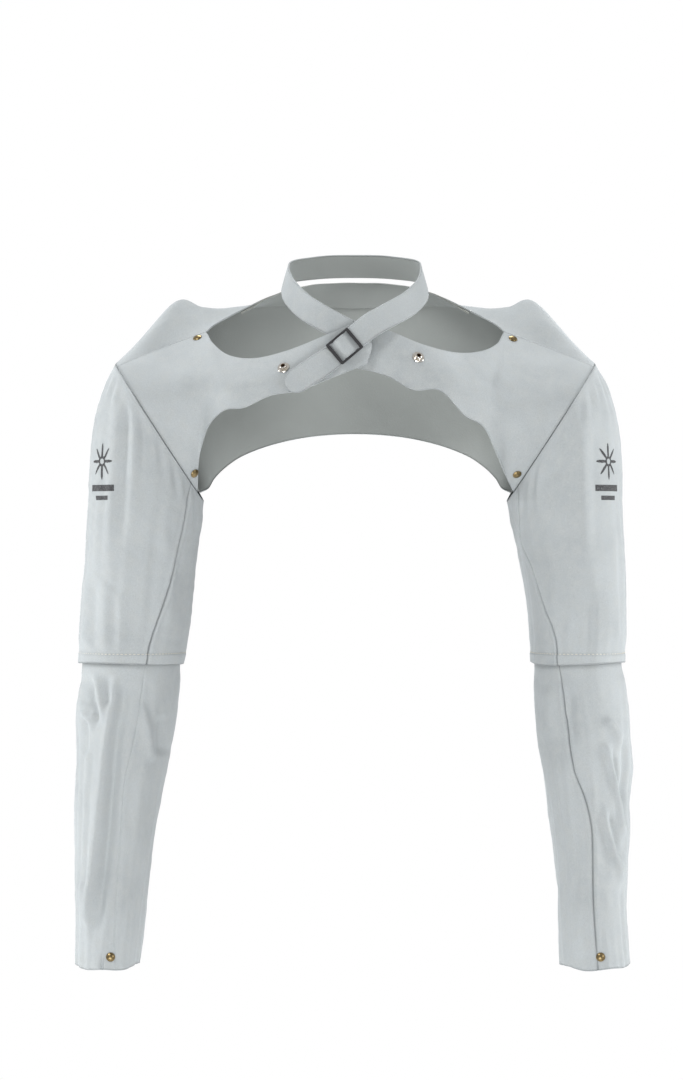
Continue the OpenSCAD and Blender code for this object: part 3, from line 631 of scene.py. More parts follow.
class Nodes:
    """A small helper that builds a node tree line by line."""

    def __init__(self, name):
        self.material = bpy.data.materials.new(name)
        self.material.use_nodes = True
        self.tree = self.material.node_tree
        self.shader = self.tree.nodes["Principled BSDF"]

    def add(self, kind, inputs=(), **settings):
        """A node of that kind, with its settings, and its inputs set or linked."""
        node = self.tree.nodes.new(kind)
        for key, value in settings.items():
            setattr(node, key, value)
        for key, value in dict(inputs).items():
            self.feed(node.inputs[key], value)
        return node

    def feed(self, socket, value):
        """Sets a socket, or links it when value is another socket."""
        if isinstance(value, bpy.types.NodeSocket):
            self.tree.links.new(value, socket)
        else:
            socket.default_value = value

    def math(self, operation, *values):
        """The result of a Math node."""
        return self.add("ShaderNodeMath", dict(enumerate(values)),
                        operation=operation).outputs[0]

    def attribute(self, name, output="Fac"):
        """One output of a named attribute."""
        return self.add("ShaderNodeAttribute", attribute_name=name).outputs[output]

    def noise(self, vector, scale, detail=2.0, rough=0.5):
        """Noise from 0 to 1."""
        return self.add("ShaderNodeTexNoise", {"Vector": vector, "Scale": scale,
                                               "Detail": detail, "Roughness": rough}).outputs[0]

    def blend(self, factor, a, b, how="MIX"):
        """Two colours mixed."""
        node = self.add("ShaderNodeMix", data_type="RGBA", blend_type=how)
        self.feed(node.inputs[0], factor)
        self.feed(node.inputs[6], a)
        self.feed(node.inputs[7], b)
        return node.outputs[2]

    def bump(self, height, strength, distance):
        """A bumped normal, distance in metres."""
        return self.add("ShaderNodeBump", {"Strength": strength, "Distance": distance,
                                           "Height": height}).outputs[0]

    def shade(self, inputs):
        """Sets or links inputs of the surface's shader."""
        for key, value in inputs.items():
            self.feed(self.shader.inputs[key], value)

    def map(self, value, a, b, c, d):
        """value moved from the range a to b to the range c to d."""
        return self.add("ShaderNodeMapRange", {0: value, 1: a, 2: b, 3: c, 4: d}).outputs[0]


def rgba(colour, k=1.0):
    """A colour with full alpha, made k times as bright."""
    return (*[min(c * k, 1.0) for c in colour], 1.0)


# How fine the suede's mottling, patches, fibres and nap are, per metre
CLOUD_SCALE = 17.0
PATCH_SCALE = 90.0
FIBRE_SCALE = 420.0
NAP_SCALE = 1500.0
# How much darker and brighter than its own colour the mottling makes the suede
CLOUD_TONES = (0.945, 1.055)


def suede_material(name, colours, where="rest", base=None):
    """Split leather: soft mottling in three sizes, a short nap in the bump, a duller
    inside, a paler cut edge and painted shade in the colour along the seams, the hem
    and the armhole."""
    n = Nodes(name)
    base = base or colours.suede
    if where == "rest":
        place = n.attribute("rest", "Vector")
    else:
        place = n.add("ShaderNodeTexCoord").outputs["Object"]
    cloud = n.noise(place, CLOUD_SCALE, 3.0, 0.5)
    patch = n.noise(place, PATCH_SCALE, 5.0, 0.65)
    nap = n.noise(place, NAP_SCALE, 3.0, 0.7)
    fibre = n.noise(place, FIBRE_SCALE, 4.0, 0.65)
    colour = n.blend(n.map(cloud, 0.35, 0.65, 0.0, 1.0),
                     *(rgba(base, tone) for tone in CLOUD_TONES))
    warm = rgba((base[0] * 1.06, base[1] * 1.04, base[2] * 1.01))
    colour = n.blend(n.map(patch, 0.42, 0.68, 0.0, 0.7), colour, warm)
    speck = n.map(nap, 0.3, 0.7, 0.84, 1.12)
    grey = n.add("ShaderNodeCombineColor", {0: speck, 1: speck, 2: speck}).outputs[0]
    colour = n.blend(1.0, colour, grey, "MULTIPLY")
    if where == "rest":
        colour = n.blend(n.attribute("back"), colour, rgba(colours.flesh))
        colour = n.blend(n.math("MULTIPLY", n.attribute("rim"), 0.5), colour,
                         rgba(base, 1.12))
        # Painted shade: the colour darkened along the seams, the hem and the armhole, as the
        # sheet's shade attribute gives
        colour = n.blend(n.math("MULTIPLY", n.attribute("crease"), 0.7), colour,
                         rgba(base, 0.25))
    height = n.math("ADD", n.math("MULTIPLY", nap, 0.35), n.math("MULTIPLY", fibre, 0.65))
    n.shade({"Base Color": colour, "Roughness": n.map(fibre, 0.3, 0.7, 0.86, 1.0),
             "Normal": n.bump(height, 0.55, 0.0006), "Specular IOR Level": 0.18,
             "Sheen Weight": 0.35, "Sheen Roughness": 0.45,
             "Sheen Tint": (0.9, 0.96, 1.0, 1.0)})
    return n.material


def thread_material(colours):
    """Twisted cotton thread: fine slanting bands across a dull pale colour."""
    n = Nodes("sewing_thread")
    place = n.add("ShaderNodeTexCoord").outputs["Object"]
    twist = n.add("ShaderNodeTexWave", {"Vector": place, "Scale": 900.0, "Distortion": 2.0},
                  bands_direction="DIAGONAL").outputs[1]
    n.shade({"Base Color": n.blend(twist, rgba(colours.thread, 0.82), rgba(colours.thread)),
             "Roughness": 0.8, "Normal": n.bump(twist, 0.4, 0.0002)})
    return n.material


def metal_material(name, colour, dull, bright, roughness, tarnish=0.35):
    """Worn metal: tarnish in clouds, small scratches in the roughness."""
    n = Nodes(name)
    place = n.add("ShaderNodeTexCoord").outputs["Object"]
    cloud = n.noise(place, 420.0, 4.0, 0.6)
    fine = n.noise(place, 3000.0, 3.0, 0.6)
    n.shade({"Base Color": n.blend(n.map(cloud, 0.4, 0.65, 0.0, tarnish),
                                   rgba(colour, bright), rgba(colour, dull)),
             "Metallic": 1.0,
             "Roughness": n.map(fine, 0.3, 0.7, roughness * 0.75, roughness * 1.3),
             "Normal": n.bump(cloud, 0.12, 0.0002)})
    return n.material


def enamel_material(colours):
    """Black baked enamel with a faint orange peel."""
    n = Nodes("black_enamel")
    place = n.add("ShaderNodeTexCoord").outputs["Object"]
    peel = n.noise(place, 1600.0, 2.0, 0.5)
    n.shade({"Base Color": n.blend(n.map(peel, 0.35, 0.7, 0.0, 0.5), rgba(colours.enamel),
                                   rgba(colours.enamel, 2.2)),
             "Roughness": 0.42, "Normal": n.bump(peel, 0.15, 0.0002)})
    return n.material


def ink_material(colours):
    """Black printing ink that has sunk into the nap, so that it's broken and dull."""
    n = Nodes("printed_ink")
    place = n.attribute("rest", "Vector")
    worn = n.noise(place, 900.0, 3.0, 0.7)
    n.shade({"Base Color": n.blend(n.map(worn, 0.48, 0.68, 0.0, 0.6), rgba(colours.ink),
                                   rgba(colours.suede, 0.6)),
             "Roughness": 0.8, "Normal": n.bump(worn, 0.3, 0.0003)})
    return n.material


MAKERS = {
    "suede": lambda c: suede_material("blue_grey_suede", c),
    "strap": lambda c: suede_material("strap_suede", c, base=tuple(0.94 * v for v in c.suede)),
    "cad_suede": lambda c: suede_material("chape_suede", c, where="object"),
    "band": lambda c: suede_material("band_flesh_side", c, base=c.band),
    "ink": ink_material,
    "thread": thread_material,
    "brass": lambda c: metal_material("aged_brass", c.brass, 0.3, 0.85, 0.3, 0.75),
    "eyelet": lambda c: metal_material("dark_brass", c.eyelet, 0.5, 1.0, 0.5),
    "nickel": lambda c: metal_material("bright_nickel", c.nickel, 0.6, 1.1, 0.16),
    "enamel": enamel_material,
}
made = {}


def material(key):
    """The material of that key, made once."""
    if key not in made:
        made[key] = MAKERS[key](bpy.context.scene.sleeve_colours)
    return made[key]


# ---------------------------------------------------------------- pieces


def shoulder_blend(obj):
    """Bakes the placing of a piece of the upper sleeve into its points."""
    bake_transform(obj)


def elbow_blend(obj):
    """Bakes the placing of a piece of the lower sleeve into its points."""
    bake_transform(obj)


def seam_shape(distance, depth=1.3, lip=0.7):
    """Across a seam: a narrow groove between two low swells."""
    swell = bell(distance - 4, 3.0) + bell(distance + 4, 3.0)
    return lip * swell - (depth + lip) * bell(distance, 1.1)


# How much closer the columns stand at the long seam than elsewhere, from 0 to 1
SEAM_CROWD = 0.72
# How far the hem and the cuff wander below and above their level
HEM_WANDER = 1.2
CUFF_WANDER = 1.1
# Painted shade in the groove of the long seam: how dark it is on each upper and each lower sleeve
UPPER_SEAM_DARK = (0.85, 0.75)
LOWER_SEAM_DARK = (0.05, 0.8)
LOWER_SEAM_DEPTH = (0.35, 1.2)


# Heights of the relief on the upper and lower sleeves: the drawn folds, slow swells at the
# back, soft unevenness, grain and the long streaks
LOWER_FOLD = 1.25
UPPER_SWELL = 2.6
LOWER_SWELL = 2.2
SOFT = 1.5
UPPER_GRAIN = 0.35
LOWER_GRAIN = 0.4
UPPER_STREAK = 0.75
LOWER_STREAK = 0.9
# Small gathers below the armhole: their height, their number and where they are strongest
GATHER = 1.3
GATHER_COUNT = 23
GATHER_DOWN = 8
# How far the turned hem stands out, how deep its stitched groove is and how dark the shade
# painted in that groove is
HEM_LIFT = 1.0
HEM_GROOVE = 0.7
HEM_DARK = 0.25
# Shadow along the armhole: on the sleeve and on the front yokes, and its width
SLEEVE_TOP_DARK = 0.55
YOKE_EDGE_DARK = 0.5
ARMHOLE_SHADE_W = 1.2
# How much of that width one column of a front yoke's grid takes up
YOKE_COLUMN = 0.6
# How far above the hem's edge the lower sleeve starts, and the painted shadow just below the hem
LOWER_START = 8
UNDER_HEM_DARK = 0.6
# How far the lower sleeve lies inside the upper one at the hem, the share of that it gets
# back further down, and over what run
TUCK = 2.9
TUCK_EASE = 0.55
TUCK_RUN = 50
CUFF_FLUTE = 0.8
# The lower sleeve's usual radius as a share of the cuff's depth
LOWER_RADIUS = 0.6


def round_seam(cols):
    """Angles round the sleeve counted from its long seam, closest together there."""
    t = np.arange(cols) / cols
    return 2 * math.pi * t - SEAM_CROWD * np.sin(2 * math.pi * t)


def from_seam(k, z, phi):
    """Angle from the long seam, from minus to plus half a turn."""
    return np.mod(phi - seam_phi(k, z) + math.pi, 2 * math.pi) - math.pi


def in_front(n):
    """1 where the leather faces the front, 0 where it faces the back."""
    return smooth(ramp(-n[..., 1], -0.1, 0.35))


def upper_move(k, base, n, phi):
    """How far the upper sleeve's surface stands out from its smooth tube, from folds,
    unevenness, gathers at the armhole, the long seam and the turned hem, and how much
    shade is painted into its colour in the seam's groove, along the armhole and in the
    hem's groove."""
    x, y, z = np.moveaxis(base, -1, 0)
    sizes = bpy.context.scene.sleeve_sizes
    front = in_front(n)
    from_top = np.maximum(top_z(k, phi) - z, 0) * abs(HOLE_N[2])
    move = sizes.fold_depth * front * fold_field(FOLDS["upper", k], x, z)
    hang = np.sin(phi * 5 + 0.8 * np.sin(z / 60) + 2 * k)
    move = move + sizes.fold_depth * (1 - front) * UPPER_SWELL * hang
    move += (SOFT * ripple(x, y, z * 0.6, 55, 11 + k)
             + UPPER_GRAIN * ripple(x, y, z, 14, 21 + k))
    move += UPPER_STREAK * sizes.fold_depth * streaks(phi, z, 13, 91 + k)
    move += GATHER * np.sin(phi * GATHER_COUNT) * bell(from_top - GATHER_DOWN, 9)
    up = z - HEM_Z
    move *= smooth(ramp(from_top, 0, 16)) * mix(0.45, 1, smooth(ramp(up, 0, 30)))
    across = from_seam(k, z, phi) * UPPER_D / 2
    move += seam_shape(across) * smooth(ramp(from_top, 2, 12))
    move += HEM_LIFT * (1 - smooth(ramp(up, sizes.hem_turn - 1.5, sizes.hem_turn + 3)))
    move -= HEM_GROOVE * bell(up - sizes.hem_turn, 0.9)
    # Painted shade in the seam's groove, along the armhole and in the hem's groove
    dark = UPPER_SEAM_DARK[k] * bell(across, 0.7)
    dark = dark + SLEEVE_TOP_DARK * bell(from_top, ARMHOLE_SHADE_W)
    dark += HEM_DARK * bell(up - sizes.hem_turn, 1)
    return move, np.clip(dark, 0, 1)


def upper_grid(k, rows=148, cols=300):
    """The upper sleeve before and after its folds, and the shade painted into its colour.
    Columns follow the long seam from the armhole's plane to the hem."""
    turn = round_seam(cols)
    top = np.full(cols, TIP[2])
    for _ in range(20):
        x = tube_pt(k, top, seam_phi(k, top) + turn)[..., 0]
        top = TIP[2] + ((x - TIP[0]) * HOLE_N[0] - SEAM_GAP / 2) / -HOLE_N[2]
    low = HEM_Z - HEM_WANDER * np.sin(turn * 2 + k)
    t = np.linspace(0, 1, rows)[:, None] ** 0.92
    z = mix(top, low, t)
    phi = seam_phi(k, z) + turn
    base = tube_pt(k, z, phi)
    n = grid_normals(base, True)
    move, dark = upper_move(k, base, n, phi)
    return base, base + n * move[..., None], dark


def hem_line(k, points=720):
    """The line along which the hem is sewn, and its outward normals."""
    turn = np.linspace(0, 2 * math.pi, points)
    level = HEM_Z + bpy.context.scene.sleeve_sizes.hem_turn
    z = level + np.array([1.0, 0.0, -1.0])[:, None] + 0 * turn
    phi = seam_phi(k, z) + turn
    base = tube_pt(k, z, phi)
    n = grid_normals(base)
    move, _ = upper_move(k, base, n, phi)
    return (base + n * move[..., None])[1], n[1]


# How far round a rivet or a stud the leather is clenched flat
CLENCH_R = 9.0


def clenched(points, k):
    """1 away from the side's rivets and studs, down to 0 at them: there the leather is
    clenched flat, so that a fold neither buries nor lifts them."""
    side = next(name for name, number in SIDES.items() if number == k)
    keep = np.ones(points.shape[:-1])
    for name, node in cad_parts.items():
        if name.startswith(side) and name.endswith(("rivet_cap", "bib_stud")):
            corners = [node.matrix_world @ v.co for v in node.data.vertices]
            middle = np.mean(corners, axis=0) / MM * [1 if k == 1 else -1, 1, 1]
            keep *= 1 - bell(np.linalg.norm(points - middle, axis=-1), CLENCH_R)
    return keep


def lower_grid(k, rows=168, cols=270):
    """The lower sleeve, which starts inside the hem, as upper_grid gives the upper one."""
    turn = round_seam(cols)
    low = CUFF_Z - CUFF_WANDER * np.sin(turn * 2 + 2 - k) - CUFF_FLUTE * np.sin(turn * 5)
    z = mix(HEM_Z + LOWER_START + 0 * turn, low, np.linspace(0, 1, rows)[:, None])
    phi = seam_phi(k, z) + turn
    tuck = -TUCK * (1 - TUCK_EASE * ramp(z, HEM_Z, HEM_Z - TUCK_RUN))
    base = tube_pt(k, z, phi, tuck)
    n = grid_normals(base, True)
    x, y, _ = np.moveaxis(base, -1, 0)
    front = in_front(n)
    depth = bpy.context.scene.sleeve_sizes.fold_depth
    move = LOWER_FOLD * depth * front * fold_field(FOLDS["lower", k], x, z)
    move += depth * (1 - front) * LOWER_SWELL * np.sin(phi * 5 + 1.2 * np.sin(z / 45) + k)
    move += (SOFT * ripple(x, y, z * 0.7, 45, 31 + k)
             + LOWER_GRAIN * ripple(x, y, z, 13, 41 + k))
    move += LOWER_STREAK * depth * streaks(phi, z, 11, 95 + k)
    below = smooth(ramp(z, HEM_Z - 1, HEM_Z - 22))
    move *= below
    across = from_seam(k, z, phi) * CUFF_D * LOWER_RADIUS
    move += seam_shape(across, LOWER_SEAM_DEPTH[k], 0.5 * LOWER_SEAM_DEPTH[k]) * below
    move *= clenched(base, k)
    # Painted shade in the seam's groove and a painted shadow just below the hem
    dark = LOWER_SEAM_DARK[k] * bell(across, 0.7) + UNDER_HEM_DARK * bell(z - HEM_Z - 1, 3.5)
    return base, base + n * move[..., None], np.clip(dark, 0, 1)


# The badge printed on each upper sleeve: angle and height of its middle and its size
BADGE_PHI = math.radians(44)
BADGE_Z = -139
BADGE_W = 44
BADGE_H = 62
# Height of the spark's middle in the badge, from -1 to 1
SPARK_UP = 0.38
# How far the ink stands on the leather and the size of its cells
INK_T = 0.1
INK_CELL = 0.4


def badge_ink(a, b):
    """Where the badge is inked, for a across and b up from -1 to 1: a plain welding
    spark with eight rays and a hollow heart, over two bare bars."""
    x, y = a * BADGE_W / BADGE_H, b - SPARK_UP
    r, turn = np.hypot(x, y), np.arctan2(y, x)
    ray = 0.17 + 0.42 * np.abs(np.cos(4 * turn)) ** 5 * np.where(np.cos(8 * turn) > 0, 1, 0.6)
    spark = (r < ray) & (r > 0.09)
    bars = (np.abs(b + 0.48) < 0.1) & (np.abs(a) < 0.92)
    return spark | bars | ((np.abs(b + 0.80) < 0.07) & (np.abs(a) < 0.56))


def badge(k):
    """Points and quads of the ink on one upper sleeve, which follows its folds."""
    rows, cols = int(BADGE_H / INK_CELL), int(BADGE_W / INK_CELL)
    a, b = np.meshgrid(np.linspace(1, -1, cols), np.linspace(1, -1, rows))
    z = BADGE_Z + b * BADGE_H / 2
    _, _, half_w, half_d = section(k, np.array(float(BADGE_Z)))
    phi = BADGE_PHI - a * BADGE_W / (half_w + half_d)
    base = tube_pt(k, z, phi)
    n = grid_normals(base)
    move, _ = upper_move(k, base, n, phi)
    points = (base + n * (move + INK_T)[..., None]).reshape(-1, 3)
    quads = faces_of(rows, cols, 0, False, False)

    def middle(v):
        return (v[:-1, :-1] + v[1:, 1:]).ravel() / 2

    quads = quads[badge_ink(middle(a), middle(b))]
    used, number = np.unique(quads, return_inverse=True)
    return points[used], number.reshape(quads.shape)


# Soft unevenness and grain of the front yokes and of the back yoke
FRONT_SOFT = 1.4
FRONT_GRAIN = 0.5
BACK_SOFT = 2.6
BACK_GRAIN = 0.6


def front_grid(k, rows=110, cols=300):
    """A front yoke's outer surface: front_pt with soft unevenness and drawn folds, which
    fade out towards its edges where it meets the sleeve and the shoulder seam."""
    u, v = grid(rows, cols)
    g = front_pt(k, u, v)
    n = grid_normals(g)
    inside = smooth(ramp(v, 0, 0.15)) * smooth(ramp(1 - v, 0, 0.15)) * smooth(ramp(1 - u, 0, 0.1))
    x, y, z = np.moveaxis(g, -1, 0)
    drape = bpy.context.scene.sleeve_sizes.fold_depth * fold_field(FOLDS["front", k], x, z)
    move = inside * (FRONT_SOFT * ripple(x, y, z, 60, 51 + k)
                     + FRONT_GRAIN * ripple(x, y, z, 18, 61 + k)
                     + drape * smooth(ramp(v, 0.1, 0.35)) * smooth(ramp(1 - v, 0.1, 0.35)))
    move *= clenched(g, k)
    return g, g + n * move[..., None]


def back_grid(rows=130, cols=380):
    """The back yoke's outer surface."""
    u, v = grid(rows, cols)
    u = 1 - 2 * u
    g = back_pt(u, v)
    n = grid_normals(g)
    inside = smooth(ramp(v, 0, 0.12)) * smooth(ramp(1 - v, 0.24, 0.4))
    inside = inside * smooth(ramp(1 - abs(u), 0, 0.1))
    x, y, z = np.moveaxis(g, -1, 0)
    move = inside * (BACK_SOFT * ripple(x, y, z, 90, 71) + BACK_GRAIN * ripple(x, y, z, 22, 81))
    return g, g + n * move[..., None], u


STRAP_ROUTE = [
    (14, -92, -11), (-3, -91, -2), (-19, -86, 6.7), (-38, -76, 17.7),
    (-51, -62, 27), (-62, -42, 38.4), (-69, -18, 51), (-71, 8, 62),
    (-62, 36, 70), (-36, 58, 75), (0, 66, 77), (36, 58, 75),
    (62, 36, 70), (70, 8, 61), (68, -20, 48), (58, -47, 34.4),
    (44, -70, 24), (30, -86, 15.5), (16, -96.5, 7)]
TONGUE_ROUTE = [(-38.5, -104.5, -36), (-53, -105, -45.5), (-68, -105.5, -56)]
BUCKLE_MID = np.array([-11.0, -106.0, -15.0])
BUCKLE_ALONG = unit(np.array([-0.766, -0.03, -0.643]))
CHEST_OUT = np.array([0.0, -1.0, 0.03])
BUCKLE_OUT = unit(CHEST_OUT - (CHEST_OUT @ BUCKLE_ALONG) * BUCKLE_ALONG)
BUCKLE_L = 28.0
END_BAR_W = 3.2
# How far the strap runs in front of the middle bar and behind the end bars, and how much
# narrower it is inside the buckle
OVER_BAR = 4.0
UNDER_BAR = -3.8
PINCH = 4.0
# The strap lies on the chest below the first height, stands round the neck above the
# second, and there it faces away from the neck's middle line and leans up
LIES_BELOW = 5
STANDS_ABOVE = 40
NECK_Y = 5
CHEST_PULL = -60
LEAN_UP = 22
# Length of the strap's round end, height of its wavy edges and their run
NOSE_L = 14
EDGE_WAVE = 0.5
EDGE_RUN = 9


def strap_route():
    """The strap's middle line and width: round the neck, through the buckle, the tongue."""
    width = bpy.context.scene.sleeve_sizes.strap_w
    end = (BUCKLE_L - END_BAR_W) / 2
    # Each step: its place along the buckle, its height over the buckle's middle plane, both
    # counted from the middle bar, and the share of the pinch that it gets
    steps = [(-end - 3.5, UNDER_BAR + 0.6, 0.3), (-end, UNDER_BAR, 1),
             (-end * 0.72, UNDER_BAR * 0.62, 1), (-4.6, OVER_BAR * 0.6, 1),
             (0, OVER_BAR, 1), (4.6, OVER_BAR * 0.6, 1),
             (end * 0.72, UNDER_BAR * 0.62, 1), (end, UNDER_BAR, 1),
             (end + 3.5, UNDER_BAR + 0.4, 0.3)]
    threading = [(*(BUCKLE_MID + a * BUCKLE_ALONG + o * BUCKLE_OUT), width - PINCH * w)
                 for a, o, w in steps]
    neck, tongue = ([(*p, width) for p in route] for route in (STRAP_ROUTE, TONGUE_ROUTE))
    return neck + threading + tongue


def strap_grid(cols=520, rows=13):
    """The strap's outer face: a ribbon along its route that faces away from the neck,
    with a round end."""
    t = np.linspace(0, 1, cols)
    q = spline(strap_route(), t)
    p, half = q[:, :3], q[:, 3] / 2
    ahead = unit(np.gradient(p, axis=0))
    up = ramp(p[:, 2], LIES_BELOW, STANDS_ABOVE)
    face = unit(np.stack([p[:, 0] * up, mix(CHEST_PULL, p[:, 1] - NECK_Y, up), LEAN_UP * up], -1))
    out = unit(face - np.sum(face * ahead, -1, keepdims=True) * ahead)
    across = np.cross(ahead, out)
    run = np.concatenate([[0], np.cumsum(np.linalg.norm(np.diff(p, axis=0), axis=1))])
    left = run[-1] - run
    s = np.linspace(-1, 1, rows)[:, None]
    nose = np.sqrt(np.clip(1 - (1 - np.clip(left / NOSE_L, 0, 1)) ** 2, 0.02, 1))
    wave = EDGE_WAVE * np.sin(run / EDGE_RUN)[None, :] * (s ** 2)
    skin = bpy.context.scene.sleeve_sizes.strap_t / 2
    return (p[None] + out[None] * (skin + wave)[..., None]
            + across[None] * (s * (half * nose)[None, :])[..., None])


# The strip at the back neckline: how far it reaches from the middle, in back_pt's u, its
# lower edge, in back_pt's v, the share of its rows that lies on the yoke, how far the rest
# stands above the neckline, how much more its ends do, its space to the yoke and how much
# its upper edge waves
BAND_REACH = 0.44
BAND_LOW = 0.78
BAND_LIES = 0.8
BAND_RISE = 3.6
BAND_END_RISE = 3.0
BAND_GAP = 0.5
BAND_WAVE = 0.3
# The row of the strip's grid, counted from its lower edge, that is sewn
BAND_STITCH_ROW = 4


def band_grid(cols=260, rows=26):
    """The strip round the back neckline, lying outside the yoke and standing above it."""
    j, i = grid(rows, cols)
    u = BAND_REACH * (1 - 2 * j)
    edge = back_pt(u, np.ones_like(u))
    down = unit(back_pt(u, np.full_like(u, 0.9)) - edge)
    left, right = (back_pt(u + step, np.ones_like(u)) for step in (0.01, -0.01))
    out = unit(np.cross(down, left - right))
    rise = BAND_END_RISE * (np.abs(u) / BAND_REACH) ** 6
    v = BAND_LOW + (1 - BAND_LOW) * np.minimum(i / BAND_LIES, 1)
    above = np.clip((i - BAND_LIES) / (1 - BAND_LIES), 0, 1)
    g = back_pt(u, v) - down * (above * (BAND_RISE + rise))[..., None]
    stand = BAND_GAP + bpy.context.scene.sleeve_sizes.leather_t
    return g + out * (stand + BAND_WAVE * np.sin(u * 60) * above)[..., None]


class SLEEVES_OT_yokes(bpy.types.Operator):
    """Two front yokes, cut from split leather, with raw edges"""

    bl_idname = "sleeves.yokes"
    bl_label = "Front yokes"

    def execute(self, context):
        sizes = context.scene.sleeve_sizes
        for side, k in SIDES.items():
            base, g = front_grid(k)
            rows, cols = g.shape[:2]
            i, j = np.indices((rows, cols))
            hold = [(j == cols - 1, HOLE_N), ((i == rows - 1) & (j / (cols - 1) >= CORNER_U),
                                             np.array([0.0, 1.0, 0.0]))]
            hold = [(m, mirror_grid(p, k)) for m, p in hold]
            # Painted shadow along the yoke's armhole edge
            crease = YOKE_EDGE_DARK * bell((cols - 1 - j) * YOKE_COLUMN, ARMHOLE_SHADE_W)
            obj = leather(f"{side}_front_yoke_leather", mirror_grid(g, k), sizes.leather_t,
                          material("suede"), hold=hold, sign=side_sign(k), crease=crease)
            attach(obj, "yoke")
            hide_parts(f"{side}_front_yoke")
        return {"FINISHED"}


class SLEEVES_OT_back(bpy.types.Operator):
    """Back yoke and the strip round its neckline"""

    bl_idname = "sleeves.back"
    bl_label = "Back yoke"

    def execute(self, context):
        sizes = context.scene.sleeve_sizes
        base, g, u = back_grid()
        rows, cols = g.shape[:2]
        i, j = np.indices((rows, cols))
        seam = (i == rows - 1) & (np.abs(u) >= BACK_CORNER_U)
        hold = [(j == 0, HOLE_N), (j == cols - 1, HOLE_N * [-1, 1, 1]),
                (seam, np.array([0.0, 1.0, 0.0]))]
        obj = leather("back_yoke_leather", g, sizes.leather_t, material("suede"), hold=hold)
        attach(obj, "yoke")
        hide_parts("back_yoke")
        strip_of = band_grid()
        band = leather("back_neck_band_leather", strip_of, sizes.leather_t, material("band"))
        row = BAND_STITCH_ROW
        sewn = sew("back_neck_band_stitches", strip_of[row], grid_normals(strip_of)[row],
                   sizes, material("thread"))
        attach(sewn, "yoke")
        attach(band, "yoke")
        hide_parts("back_neck_band")
        return {"FINISHED"}


class SLEEVES_OT_upper(bpy.types.Operator):
    """Upper sleeves, with their long seam, turned hem and folds"""

    bl_idname = "sleeves.upper"
    bl_label = "Upper sleeves"

    def execute(self, context):
        sizes = context.scene.sleeve_sizes
        for side, k in SIDES.items():
            base, g, dark = upper_grid(k)
            rows = np.indices(dark.shape)[0]
            hold = [(rows == 0, mirror_grid(HOLE_N, k))]
            obj = leather(f"{side}_upper_sleeve_leather", mirror_grid(g, k), sizes.leather_t,
                          material("suede"), closed=True, hold=hold, sign=side_sign(k),
                          crease=dark)
            shoulder_blend(obj)
            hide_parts(f"{side}_upper_sleeve")

            path, outs = hem_line(k)
            sewn = sew(f"{side}_hem_stitches", mirror_grid(path, k), mirror_grid(outs, k),
                       sizes, material("thread"))
            shoulder_blend(sewn)

            points, quads = badge(k)
            quads = quads if k == 1 else quads[:, ::-1]
            ink = make_object(f"{side}_badge", mirror_grid(points, k), quads, material("ink"))
            shoulder_blend(ink)
        return {"FINISHED"}


class SLEEVES_OT_lower(bpy.types.Operator):
    """Lower sleeves, with their long seam and folds"""

    bl_idname = "sleeves.lower"
    bl_label = "Lower sleeves"

    def execute(self, context):
        sizes = context.scene.sleeve_sizes
        for side, k in SIDES.items():
            base, g, dark = lower_grid(k)
            obj = leather(f"{side}_lower_sleeve_leather", mirror_grid(g, k), sizes.leather_t,
                          material("suede"), closed=True, sign=side_sign(k), crease=dark)
            elbow_blend(obj)
            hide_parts(f"{side}_lower_sleeve")
        return {"FINISHED"}


class SLEEVES_OT_strap(bpy.types.Operator):
    """Neck strap, threaded through the buckle"""

    bl_idname = "sleeves.strap"
    bl_label = "Neck strap"

    def execute(self, context):
        sizes = context.scene.sleeve_sizes
        g = strap_grid()
        obj = leather("neck_strap_leather", g, sizes.strap_t, material("strap"), sign=-1)
        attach(obj, "yoke")
        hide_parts("neck_strap")
        return {"FINISHED"}


class SLEEVES_OT_hardware(bpy.types.Operator):
    """Finishes of the rivets, studs, eyelets, chape and buckle"""

    bl_idname = "sleeves.hardware"
    bl_label = "Hardware"

    def execute(self, context):
        finishes = {"rivet": "brass", "eyelet": "eyelet", "stud": "nickel",
                    "chape": "cad_suede", "buckle": "enamel"}
        for name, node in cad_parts.items():
            key = next((f for word, f in finishes.items() if word in name), None)
            if key:
                node.data.materials.clear()
                node.data.materials.append(material(key))
        return {"FINISHED"}


# The stage, in metres: what the lights aim at, the floor's radius and height, and the
# camera's place across and up
LIGHT_AIM = np.array([0, 0, -0.25])
FLOOR_R = 2.2
FLOOR_Z = -1.45
LOOK_X = -0.014
LOOK_Z = -0.206


